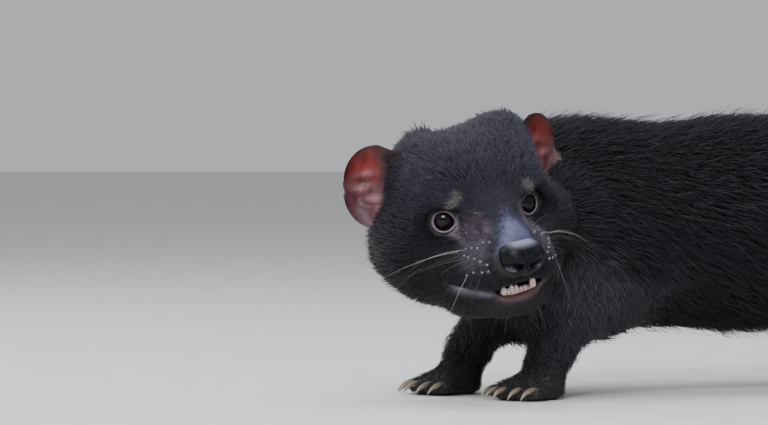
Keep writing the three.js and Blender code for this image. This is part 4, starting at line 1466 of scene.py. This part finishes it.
def nose_mesh():
    """Vertices and faces of the nose pad with its nostrils and groove, and how much painted highlight each
    vertex carries, on top of the pad and on the nostrils' lower rims.
    """
    vertices = []
    for ring in range(NOSE_RINGS + 2):
        angle = math.pi * ring / (NOSE_RINGS + 1)
        for step in range(NOSE_SEGMENTS if 0 < ring <= NOSE_RINGS else 1):
            turn = 2 * math.pi * step / NOSE_SEGMENTS
            out = math.sin(angle)
            vertices.append((out * math.cos(turn), -math.cos(angle), out * math.sin(turn)))
    sphere = np.array(vertices)
    x, y, z = sphere.T
    square = (np.abs(sphere) ** NOSE_SQUARENESS).sum(axis=1, keepdims=True) ** (-1 / NOSE_SQUARENESS)
    points = sphere * square
    points[:, 0] *= 1 - 0.16 * step_between(0.1, -1, z)
    points = points * (NOSE_RADII + np.array([0.3, 0.3, 0.2]))
    front = step_between(0.1, -0.3, y)
    # Painted highlight across the top of the pad, standing in for the light from above on its wet top
    pale = step_between(0.5, 1.0, z) ** 1.6 * step_between(0.95, 0.35, np.abs(x - 0.08))
    pale = pale * step_between(0.7, 0.2, y)
    from_cheek = ((np.abs(points[:, 0]) - 7) / 5) ** 2 + ((points[:, 2] - 1) / 6) ** 2
    points[:, 1] -= 1.3 * front * np.exp(-from_cheek)
    groove = np.exp(-((points[:, 0] / 1.0) ** 2)) * step_between(3, -3, points[:, 2]) * front
    points[:, 1] += 1.6 * groove
    for side in SIDES.values():
        paths = (NOSTRIL, NOSE_WING, NOSTRIL_GLINT_PATH)
        nostril, wing, glint_path = (np.array(path, float) * (side, 1, 1) for path in paths)
        away, place = distance_to_path(points, nostril)
        width = 2.6 - 1.5 * place
        pit = np.exp(-((away / width) ** 2)) * (1 - 0.45 * place) * front
        points[:, 1] += 5.5 * pit
        points[:, 0] -= side * 1.2 * pit
        away, _ = distance_to_path(points, wing)
        points[:, 1] -= 0.9 * np.exp(-((away / 1.6) ** 2)) * front
        # Painted glint along the lower rim of each nostril
        away, _ = distance_to_path(points, glint_path)
        pale = np.maximum(pale, 0.4 * np.exp(-((away / 1.3) ** 2)))
    return points + NOSE_CENTRE, ball_faces(NOSE_RINGS, NOSE_SEGMENTS), pale


# Mouth: sides of the gum, rings and sides of a tooth
GUM_SIDES = 14
TOOTH_RINGS = 7
TOOTH_SIDES = 10
# Lower teeth: place across, height, half width and half depth, the small ones before the two canines
TEETH = [
    (-6.3, 4.4, 1.8, 1.7),
    (-3.2, 5.8, 2.1, 1.8),
    (0.3, 5.0, 1.9, 1.8),
    (3.3, 3.6, 1.5, 1.6),
    (6.1, 3.9, 1.6, 1.6),
    (-10.2, 6.4, 2.6, 2.3),
    (11.9, 8.0, 2.6, 2.4),
]


def gum_line(across, below):
    """Places just behind the lips, below the mouth line."""
    points = on_face(across, mouth_height(across) - 3.0)
    points[:, 2] = mouth_height(across) - below
    return points


def gum_mesh():
    across = np.linspace(-15.5, 16, 30)
    line = gum_line(across, 5.6)
    vertices = []
    for index, centre in enumerate(line):
        end = math.sin(math.pi * (index + 0.5) / len(line)) ** 0.4
        ripple = 1 + 0.12 * math.sin(across[index] * 1.9)
        for step in range(GUM_SIDES):
            turn = 2 * math.pi * step / GUM_SIDES
            up = (3.2 * math.sin(turn) + 0.4) * end * ripple
            vertices.append(centre + np.array([0, 4.4 + 2.6 * math.cos(turn), up]))
    return np.array(vertices), tube_faces(len(line), GUM_SIDES)


def tooth_points(root, tip, width, depth):
    points = []
    for share in np.linspace(0, 1, TOOTH_RINGS):
        centre = root + (tip - root) * share
        taper = math.sqrt(max(0.02, 1 - share ** 2.4))
        for corner in range(TOOTH_SIDES):
            turn = 2 * math.pi * corner / TOOTH_SIDES
            points.append(centre + taper * np.array([width * math.cos(turn), depth * math.sin(turn), 0]))
    return points


def teeth_mesh(seed):
    draw = np.random.default_rng(seed)
    vertices = []
    faces = []
    for place, height, width, depth in TEETH:
        across = place + draw.uniform(-0.25, 0.25)
        root = gum_line(np.array([across]), 5.2)[0] + np.array([0, 3.4, 0])
        tip = root + np.array([draw.uniform(-0.9, 0.9), -0.8, height * draw.uniform(0.85, 1.1)])
        first = len(vertices)
        faces.extend(tuple(first + index for index in face) for face in tube_faces(TOOTH_RINGS, TOOTH_SIDES))
        vertices.extend(tooth_points(root, tip, width, depth))
    return np.array(vertices), faces


# Claws
CLAW_LENGTH = 15
CLAW_STEPS = 9


def claw_lines(seed):
    draw = np.random.default_rng(seed)
    lines = []
    thickness = []
    tips = []
    for foot in FEET.values():
        origin, axes = foot_frame(foot)
        for across in foot["toes"]:
            x, y, _ = toe_tip(foot, across)
            reach = CLAW_LENGTH * draw.uniform(0.88, 1.0)
            bend = draw.uniform(-0.6, 0.6)
            start = np.array([x, y + 2, 7.6])
            middle = np.array([x * 1.03 + bend, y - reach * 0.6, 9.8])
            end = np.array([x * 1.06 + bend, y - reach, 1.6])
            t = np.linspace(0, 1, CLAW_STEPS)[:, None]
            curve = start * (1 - t) ** 2 + 2 * middle * t * (1 - t) + end * t ** 2
            lines.append(origin + curve @ axes.T * MM)
            radius = 2.5 * (1 - t[:, 0] ** 1.5) + 0.25
            thickness.append(radius * MM)
            tips.append(t[:, 0])
    return lines, thickness, tips


# Whiskers: rows of roots on the pad from the top down, across and up, with the length of each whisker
WHISKER_ROWS = [
    [(25.8, -10.4, 30), (21.7, -7.8, 24), (19.7, -8.8, 18), (17, -7.4, 12)],
    [(28.8, -14.4, 38), (25.6, -13.6, 30), (22.9, -13, 20)],
    [
        (33.6, -16, 48), (30.7, -18, 44), (29.1, -18.6, 36),
        (26.9, -19, 30), (24.9, -20, 22), (22.3, -21.6, 16),
    ],
    [(33, -30, 34), (30, -27, 30), (26, -26.5, 22), (22.6, -25.8, 14)],
]
BROW_ROOTS = [(27, 18, 22), (30, 17, 26)]
CHEEK_ROOTS = [(50, -22, 30), (51, -26, 26)]
CHIN_ROOTS = [(9, -62, 12), (15, -61, 13)]
PALE_WHISKERS = {(33.6, -16), (33, -30), (28.8, -14.4)}
# The way in which each group of whiskers grows on the animal's left side
WHISKER_WAYS = [
    *[(row, (0.85, 0.65, -0.28)) for row in WHISKER_ROWS[:3]],
    (WHISKER_ROWS[3], (0.1, 0.4, -1.0)),
    (BROW_ROOTS, (0.45, 0.5, 0.8)),
    (CHEEK_ROOTS, (0.7, 0.8, -0.5)),
    (CHIN_ROOTS, (0.2, 0.5, -0.9)),
]


def whisker_pads():
    """The roots of the whiskers on both pads beside the nose."""
    places = [(across, up) for row in WHISKER_ROWS for across, up, _ in row]
    return np.concatenate([path_on_face(mirrored(places, side)) for side in SIDES.values()])


def whisker_roots():
    """Each root on the skin in the head's frame with its length, way out and paleness."""
    roots = []
    for side in SIDES.values():
        for places, way in WHISKER_WAYS:
            for across, up, length in places:
                point = on_face([side * across], [up])[0]
                pale = (across, up) in PALE_WHISKERS
                roots.append((point, length, np.array([side * way[0], way[1], way[2]]), pale))
    return roots


def whisker_lines(seed):
    draw = np.random.default_rng(seed)
    lines = []
    thickness = []
    paleness = []
    t = np.linspace(0, 1, 14)
    for root, length, way, pale in whisker_roots():
        _, slope = field_slope(head_field, root[None])
        way = unit(way + 0.5 * unit(slope[0]) + draw.normal(0, 0.09, 3))
        droop = np.array([0, 0.15, -0.35]) * length * draw.uniform(0.5, 1.3)
        curve = root + np.multiply.outer(t * length * draw.uniform(0.85, 1.1), way)
        curve = curve + np.multiply.outer(t ** 2, droop)
        lines.append(from_head(curve - way * 0.8))
        thickness.append((0.2 * (1 - t) ** 0.8 + 0.04) * MM)
        paleness.append(np.full(len(t), 0.8 if pale else 0.25 * draw.random()))
    return lines, thickness, paleness


# Coat
class SkinSample:
    """Points drawn on the skin, with the skin's fields at each."""

    def __init__(self, piece, seed):
        mesh = piece.data
        mesh.calc_loop_triangles()
        self.corners = np.empty((len(mesh.loop_triangles), 3), dtype=np.int64)
        mesh.loop_triangles.foreach_get("vertices", self.corners.ravel())
        self.loops = np.empty_like(self.corners)
        mesh.loop_triangles.foreach_get("loops", self.loops.ravel())
        self.points = positions_of(mesh)
        self.normals = normals_of(mesh)
        self.lie = read_attribute(mesh, "lie", 3)
        self.length = read_attribute(mesh, "coat_length", 1)
        self.standing = read_attribute(mesh, "coat_standing", 1)
        self.density = read_attribute(mesh, "coat_density", 1)
        self.marking = read_attribute(mesh, "marking", 4)
        self.zone = read_attribute(mesh, "zone", 1)
        uv = np.empty(len(mesh.loops) * 2, dtype=np.float32)
        mesh.uv_layers["OFBake"].data.foreach_get("uv", uv)
        self.uv = uv.reshape(-1, 2)
        self.draw = np.random.default_rng(seed)
        a, b, c = (self.points[self.corners[:, k]] for k in range(3))
        self.area = np.linalg.norm(np.cross(b - a, c - a), axis=1) / 2 / MM ** 2

    def roots(self, zones, fullness):
        """Roots in the named zones, with the skin's fields and the place on the unwrap at each."""
        chosen = np.isin(self.zone[self.corners[:, 0]], [ZONE_NAMES.index(zone) for zone in zones])
        weight = self.area * self.density[self.corners].mean(axis=1) * chosen
        count = int(weight.sum() * fullness)
        picked = np.searchsorted(np.cumsum(weight), self.draw.random(count) * weight.sum())
        picked = np.minimum(picked, len(weight) - 1)
        first = np.sqrt(self.draw.random(count))
        second = self.draw.random(count)
        shares = np.stack([1 - first, first * (1 - second), first * second], axis=1)

        def at(values):
            corner_values = values[self.corners[picked]]
            if values.ndim == 1:
                return (corner_values * shares).sum(axis=1)
            return (corner_values * shares[:, :, None]).sum(axis=1)

        return {
            "place": at(self.points),
            "normal": unit(at(self.normals)),
            "lie": unit(at(self.lie)),
            "length": at(self.length),
            "standing": at(self.standing),
            "marking": at(self.marking),
            "uv": (self.uv[self.loops[picked]] * shares[:, :, None]).sum(axis=1),
        }


# A tuft has rings of three points and a tip, at these shares of its length. Its root is sunk into the skin.
TUFT_SIDES = 3
TUFT_SHARES = (0, 0.55, 1)
TUFT_RINGS = len(TUFT_SHARES) - 1
ROOT_DEPTH = 0.0004
# The coat's least height over the floor, and half the side of a tuft's patch on the unwrap
FLOOR_GAP = 0.2 * MM
PATCH_HALF = 0.0015


def tuft_arrays(roots, draw, width, wildness):
    """Vertices of every tuft, with the share of its length at which each lies."""
    count = len(roots["place"])
    stray = 1 + 0.5 * (draw.random(count) < 0.12)
    length = roots["length"] * draw.uniform(0.7, 1.2, count)
    standing = roots["standing"] * draw.uniform(0.55, 1.3, count) * stray
    sway = draw.normal(0, wildness, count)
    across = np.cross(roots["normal"], roots["lie"])
    way = unit(roots["lie"] + across * sway[:, None])
    across = np.cross(roots["normal"], way)
    curl = draw.normal(0, 0.1, count)
    fullness = 0.6 + 0.4 * roots["length"] / roots["length"].mean()
    half_width = width * fullness * draw.uniform(0.75, 1.25, count)
    columns = []
    tips = []
    for step, share in enumerate(TUFT_SHARES):
        forward = length * share * (1 - 0.12 * (1 - share))
        lift = standing * (1 - (1 - share) ** 2) - ROOT_DEPTH * (step == 0)
        side = length * curl * share ** 2
        centre = (
            roots["place"]
            + way * forward[:, None]
            + roots["normal"] * lift[:, None]
            + across * side[:, None]
        )
        taper = (1 - share ** 1.6) * half_width
        if step == TUFT_RINGS:
            columns.append(centre[:, None])
            tips.append(np.full((count, 1), 1.0))
            continue
        ring = [
            centre + across * taper[:, None],
            centre - across * taper[:, None],
            centre + roots["normal"] * (0.8 * taper)[:, None],
        ]
        columns.append(np.stack(ring, axis=1))
        tips.append(np.full((count, TUFT_SIDES), share))
    return np.concatenate(columns, axis=1), np.concatenate(tips, axis=1)


def tuft_faces():
    """Four-sided and three-sided faces of one tuft."""
    quads = []
    for ring in range(TUFT_RINGS - 1):
        for side in range(TUFT_SIDES):
            ahead = (side + 1) % TUFT_SIDES
            low = ring * TUFT_SIDES
            quads.append((low + side, low + TUFT_SIDES + side, low + TUFT_SIDES + ahead, low + ahead))
    last = (TUFT_RINGS - 1) * TUFT_SIDES
    tip = TUFT_RINGS * TUFT_SIDES
    triangles = [(last + side, tip, last + (side + 1) % TUFT_SIDES) for side in range(TUFT_SIDES)]
    triangles.append((0, 1, 2))
    return np.array(quads), np.array(triangles)


def tuft_uv(roots, tips):
    """A small patch for each tuft, round the place of its root on the skin's unwrap."""
    sideways = np.array([-1, 1, 0] * TUFT_RINGS + [0])
    across = np.broadcast_to(sideways * PATCH_HALF, tips.shape)
    along = (tips - 0.5) * 2 * PATCH_HALF
    return roots["uv"][:, None] + np.stack([across, along], axis=2)


def tuft_piece(name, roots, draw, width, wildness, material):
    """One coat piece: every tuft's mesh joined, all of it over the floor."""
    points, tips = tuft_arrays(roots, draw, width, wildness)
    points[..., 2] = np.maximum(points[..., 2], FLOOR_GAP)
    count, each = tips.shape
    quads, triangles = tuft_faces()
    starts = (np.arange(count) * each)[:, None]
    quad_corners = (starts + quads.reshape(1, -1)).reshape(count, -1)
    triangle_corners = (starts + triangles.reshape(1, -1)).reshape(count, -1)
    corners = np.concatenate([quad_corners, triangle_corners], axis=1).ravel().astype(np.int32)
    sizes = np.tile(np.concatenate([np.full(len(quads), 4), np.full(len(triangles), 3)]), count)
    begins = np.concatenate([[0], np.cumsum(sizes)[:-1]]).astype(np.int32)
    mesh = bpy.data.meshes.new(name)
    mesh.vertices.add(count * each)
    mesh.vertices.foreach_set("co", points.reshape(-1).astype(np.float32))
    mesh.loops.add(len(corners))
    mesh.loops.foreach_set("vertex_index", corners)
    mesh.polygons.add(len(sizes))
    mesh.polygons.foreach_set("loop_start", begins)
    mesh.update(calc_edges=True)
    mesh.shade_smooth()
    uv = tuft_uv(roots, tips).reshape(-1, 2)
    layer = mesh.uv_layers.new(name="OFBake")
    layer.data.foreach_set("uv", uv[corners].astype(np.float32).ravel())
    write_attribute(mesh, "tip", "FLOAT", tips)
    write_attribute(mesh, "shade", "FLOAT", np.repeat(draw.random(count), each))
    write_attribute(mesh, "marking", "FLOAT_COLOR", np.repeat(roots["marking"], each, axis=0))
    mesh.materials.append(material)
    return placed(name, mesh)


# Zones of each group of coat pieces, half width of a tuft in millimetres and how far its way strays
COAT_GROUPS = {
    "head": (("head", "lower_jaw"), 0.30, 0.22),
    "neck": (("neck",), 0.42, 0.25),
    "trunk": (("torso",), 0.5, 0.2),
    "tail": (("tail",), 0.5, 0.2),
    "forelegs": (("foreleg",), 0.45, 0.2),
    "hindlegs": (("hindleg",), 0.6, 0.2),
    "feet": (("forefoot", "hindfoot"), 0.3, 0.2),
}
# Triangles that one piece may have
PIECE_LIMIT = 190_000


# Settings
class DevilSkinSettings(bpy.types.PropertyGroup):
    """The skin under the coat."""

    spacing: bpy.props.FloatProperty(
        name="Mesh spacing",
        description="Distance between the points of the skin away from the face",
        default=0.0028,
        min=0.0015,
        max=0.006,
        unit="LENGTH",
    )


class DevilFaceSettings(bpy.types.PropertyGroup):
    """Eyes, mouth, whiskers and claws."""

    seed: bpy.props.IntProperty(
        name="Seed",
        description="Seed of the small differences between whiskers, teeth and claws",
        default=11,
        min=0,
    )
    strand_sides: bpy.props.IntProperty(
        name="Whisker sides",
        description="Sides of each whisker's section",
        default=5,
        min=3,
        max=12,
    )
    claw_sides: bpy.props.IntProperty(
        name="Claw sides",
        description="Sides of each claw's section",
        default=12,
        min=6,
        max=24,
    )
    follicle_radius: bpy.props.FloatProperty(
        name="Whisker root radius",
        description="Radius of the pale bump at the root of each whisker",
        default=0.00085,
        min=0.0003,
        max=0.003,
        unit="LENGTH",
    )


class DevilCoatSettings(bpy.types.PropertyGroup):
    """The coat."""

    seed: bpy.props.IntProperty(
        name="Seed",
        description="Seed of the tufts' places and differences",
        default=5,
        min=0,
    )
    fullness: bpy.props.FloatProperty(
        name="Fullness",
        description="Share of the tufts that are grown",
        default=1.0,
        min=0.02,
        max=1.2,
        subtype="FACTOR",
    )


class DevilStageSettings(bpy.types.PropertyGroup):
    """Camera, floor and light."""

    azimuth: bpy.props.FloatProperty(
        name="Camera azimuth",
        description="Way from which the camera looks, from the front towards the animal's left",
        default=math.radians(75),
        subtype="ANGLE",
    )
    elevation: bpy.props.FloatProperty(
        name="Camera elevation",
        description="How far the camera looks down",
        default=math.radians(1.29),
        subtype="ANGLE",
    )
    distance: bpy.props.FloatProperty(
        name="Camera distance",
        description="Distance from the camera to the middle of the eyes",
        default=3.2,
        unit="LENGTH",
    )
    surroundings: bpy.props.FloatVectorProperty(
        name="Surroundings",
        description="Colour of the light all round",
        default=(0.84, 0.87, 0.92),
        size=3,
        min=0,
        max=1,
        subtype="COLOR",
    )


# Operators
class DEVIL_OT_skin(bpy.types.Operator):
    """Make the skin with its ears"""

    bl_idname = "devil.skin"
    bl_label = "Skin"

    def execute(self, context):
        mesh = build_skin(context.scene.devil_skin.spacing)
        piece = finished_object("skin", mesh, skin_finish())
        unwrap(piece, "OFBake")
        ride_as(piece, "coat", *FLESH_NODES, "ear_left", "ear_right")
        return {"FINISHED"}


class DEVIL_OT_eyes(bpy.types.Operator):
    """Make the eyes and their lids"""

    bl_idname = "devil.eyes"
    bl_label = "Eyes"

    def execute(self, context):
        wet = eye_finish()
        bare = lid_finish()
        for name, side in SIDES.items():
            vertices, faces, ring = eye_mesh(side)
            eye = mesh_object(f"eyeball_{name}", from_head(vertices), faces, wet)
            write_attribute(eye.data, "ring", "FLOAT", ring)
            ride_as(outward(eye), "eye", f"eye_{name}")
            vertices, faces, margin = lid_mesh(side)
            lids = mesh_object(f"eyelids_{name}", from_head(vertices), faces, bare)
            write_attribute(lids.data, "margin", "FLOAT", margin)
            ride_as(outward(lids), "coat")
        return {"FINISHED"}


class DEVIL_OT_nose(bpy.types.Operator):
    """Make the nose pad with its nostrils"""

    bl_idname = "devil.nose"
    bl_label = "Nose"

    def execute(self, context):
        vertices, faces, pale = nose_mesh()
        piece = mesh_object("nose_pad", from_head(vertices), faces, nose_finish())
        # pale holds the painted highlight and glints of the pad
        write_attribute(piece.data, "pale", "FLOAT", pale)
        ride_as(outward(piece), "nose_skin", "nose")
        return {"FINISHED"}


class DEVIL_OT_mouth(bpy.types.Operator):
    """Make the lower gum and teeth that show between the lips"""

    bl_idname = "devil.mouth"
    bl_label = "Mouth"

    def execute(self, context):
        vertices, faces = gum_mesh()
        gum = mesh_object("lower_gum", from_head(vertices), faces, gum_finish())
        ride_as(outward(gum), "nose_skin")
        vertices, faces = teeth_mesh(context.scene.devil_face.seed)
        teeth = mesh_object("lower_teeth", from_head(vertices), faces, tooth_finish())
        ride_as(outward(teeth), "foot_skin")
        return {"FINISHED"}


class DEVIL_OT_claws(bpy.types.Operator):
    """Grow the claws"""

    bl_idname = "devil.claws"
    bl_label = "Claws"

    def execute(self, context):
        settings = context.scene.devil_face
        lines, thickness, tips = claw_lines(settings.seed)
        source = line_mesh("claws", lines, thickness, {"tip": tips})
        inputs = {"Sides": settings.claw_sides, "Finish": claw_finish()}
        ride_as(grown_by("claws", source, strand_tree(), inputs), "foot_skin")
        return {"FINISHED"}


class DEVIL_OT_whiskers(bpy.types.Operator):
    """Grow the whiskers and the bumps at their roots"""

    bl_idname = "devil.whiskers"
    bl_label = "Whiskers"

    def execute(self, context):
        settings = context.scene.devil_face
        lines, thickness, paleness = whisker_lines(settings.seed)
        source = line_mesh("whiskers", lines, thickness, {"pale": paleness})
        inputs = {"Sides": settings.strand_sides, "Finish": whisker_finish()}
        ride_as(grown_by("whiskers", source, strand_tree(), inputs), "coat")
        skin = bpy.data.objects["skin"]
        roots = []
        for place in from_head(whisker_pads()):
            found, nearest, outside, _ = skin.closest_point_on_mesh(Vector(place))
            roots.append(nearest + outside * 0.6 * MM if found else Vector(place))
        source = bpy.data.meshes.new("whisker_roots")
        source.from_pydata(roots, [], [])
        inputs = {"Radius": settings.follicle_radius, "Finish": follicle_finish()}
        ride_as(grown_by("whisker_roots", source, bump_tree(), inputs), "coat")
        return {"FINISHED"}


class DEVIL_OT_coat(bpy.types.Operator):
    """Grow the coat over the skin"""

    bl_idname = "devil.coat"
    bl_label = "Coat"

    def execute(self, context):
        settings = context.scene.devil_coat
        sample = SkinSample(bpy.data.objects["skin"], settings.seed)
        material = coat_finish()
        quads, triangles = tuft_faces()
        each = 2 * len(quads) + len(triangles)
        for name, (zones, width, wildness) in COAT_GROUPS.items():
            roots = sample.roots(zones, settings.fullness)
            parts = math.ceil(len(roots["place"]) * each / PIECE_LIMIT)
            for part in range(parts):
                share = {key: values[part::parts] for key, values in roots.items()}
                label = f"coat_{name}_{part + 1}" if parts > 1 else f"coat_{name}"
                ride_as(tuft_piece(label, share, sample.draw, width * MM, wildness, material), "coat")
        return {"FINISHED"}


class DEVIL_OT_stage(bpy.types.Operator):
    """Set the floor, the lights and the camera"""

    bl_idname = "devil.stage"
    bl_label = "Stage"

    def execute(self, context):
        settings = context.scene.devil_stage
        make_floor()
        make_world(settings.surroundings)
        for name, values in LIGHTS.items():
            area_light(name, *values)
        make_camera(settings)
        return {"FINISHED"}


# Stage
FLOOR_RADIUS = 12.0
FLOOR_SIDES = 96


def make_floor():
    turns = np.linspace(0, 2 * math.pi, FLOOR_SIDES, endpoint=False)
    rim = FLOOR_RADIUS * np.stack([np.cos(turns), np.sin(turns), np.zeros(FLOOR_SIDES)], axis=1)
    floor = mesh_object("floor", rim, [tuple(range(FLOOR_SIDES))], floor_finish(), smooth=False)


def make_world(colour):
    world = bpy.data.worlds.new("studio")
    world.use_nodes = True
    background = world.node_tree.nodes["Background"]
    background.inputs["Color"].default_value = (*colour, 1.0)
    background.inputs["Strength"].default_value = 0.6
    bpy.context.scene.world = world


def area_light(name, away, size, power, colour):
    light = bpy.data.lights.new(name, "AREA")
    light.shape = "RECTANGLE"
    light.size, light.size_y = size
    light.energy = power
    light.color = colour
    lamp = placed(name, light)
    target = Vector(HEAD_ORIGIN)
    lamp.location = target + Vector(away)
    lamp.rotation_euler = (target - lamp.location).to_track_quat("-Z", "Y").to_euler()


def camera_axes(azimuth, elevation):
    """The camera's right, up and back."""
    back = np.array([
        math.sin(azimuth) * math.cos(elevation),
        -math.cos(azimuth) * math.cos(elevation),
        math.sin(elevation),
    ])
    right = np.array([math.cos(azimuth), math.sin(azimuth), 0.0])
    return right, np.cross(back, right), back


# Lights: place from the eyes' middle, size, power and colour
LIGHTS = {
    "key": ((2.0, -0.95, 1.5), (1.3, 1.1), 85, (0.95, 0.97, 1.0)),
    "overhead": ((-0.1, 0.2, 2.4), (2.4, 2.4), 60, (0.86, 0.91, 1.0)),
    "rim": ((-1.6, -1.4, 1.3), (1.2, 1.0), 25, (1.0, 0.97, 0.93)),
}
# The picture's width, the camera's focal length and the place of the eyes' middle, all in pixels
IMAGE_WIDTH = 768
FOCAL_PIXELS = 4544
EYES_RIGHT_OF_MIDDLE = 104
EYES_BELOW_MIDDLE = 1


def make_camera(settings):
    data = bpy.data.cameras.new("camera")
    data.sensor_fit = "HORIZONTAL"
    data.sensor_width = 36.0
    data.lens = data.sensor_width * FOCAL_PIXELS / IMAGE_WIDTH
    data.clip_end = 100
    right, up, back = camera_axes(settings.azimuth, settings.elevation)
    shift = settings.distance / FOCAL_PIXELS
    place = HEAD_ORIGIN + settings.distance * back
    place = place - EYES_RIGHT_OF_MIDDLE * shift * right + EYES_BELOW_MIDDLE * shift * up
    matrix = Matrix.Identity(4)
    for row in range(3):
        matrix[row] = (right[row], up[row], back[row], place[row])
    camera = placed("camera", data)
    camera.matrix_world = matrix
    bpy.context.scene.camera = camera


class DEVIL_PT_panel(bpy.types.Panel):
    """The devil's pieces, in the order in which they are made"""

    bl_label = "Tasmanian devil"
    bl_space_type = "VIEW_3D"
    bl_region_type = "UI"
    bl_category = "Devil"

    def draw(self, context):
        for operator in PIECE_OPERATORS:
            self.layout.operator(operator.bl_idname)
        for group, settings in SETTINGS.items():
            box = self.layout.box()
            for name in settings.__annotations__:
                box.prop(getattr(context.scene, group), name)


SETTINGS = {
    "devil_skin": DevilSkinSettings,
    "devil_face": DevilFaceSettings,
    "devil_coat": DevilCoatSettings,
    "devil_stage": DevilStageSettings,
}
PIECE_OPERATORS = (
    DEVIL_OT_skin,
    DEVIL_OT_eyes,
    DEVIL_OT_nose,
    DEVIL_OT_mouth,
    DEVIL_OT_claws,
    DEVIL_OT_whiskers,
    DEVIL_OT_coat,
    DEVIL_OT_stage,
)


def register():
    for settings in SETTINGS.values():
        bpy.utils.register_class(settings)
    for name, settings in SETTINGS.items():
        setattr(bpy.types.Scene, name, bpy.props.PointerProperty(type=settings))
    for operator in PIECE_OPERATORS:
        bpy.utils.register_class(operator)
    bpy.utils.register_class(DEVIL_PT_panel)


def unregister():
    bpy.utils.unregister_class(DEVIL_PT_panel)
    for operator in reversed(PIECE_OPERATORS):
        bpy.utils.unregister_class(operator)
    for name, settings in SETTINGS.items():
        delattr(bpy.types.Scene, name)
        bpy.utils.unregister_class(settings)


def main():
    register()
    bpy.ops.devil.skin()
    bpy.ops.devil.eyes()
    bpy.ops.devil.nose()
    bpy.ops.devil.mouth()
    bpy.ops.devil.claws()
    bpy.ops.devil.whiskers()
    bpy.ops.devil.coat()
    bpy.ops.devil.stage()


if __name__ == "__main__":
    main()
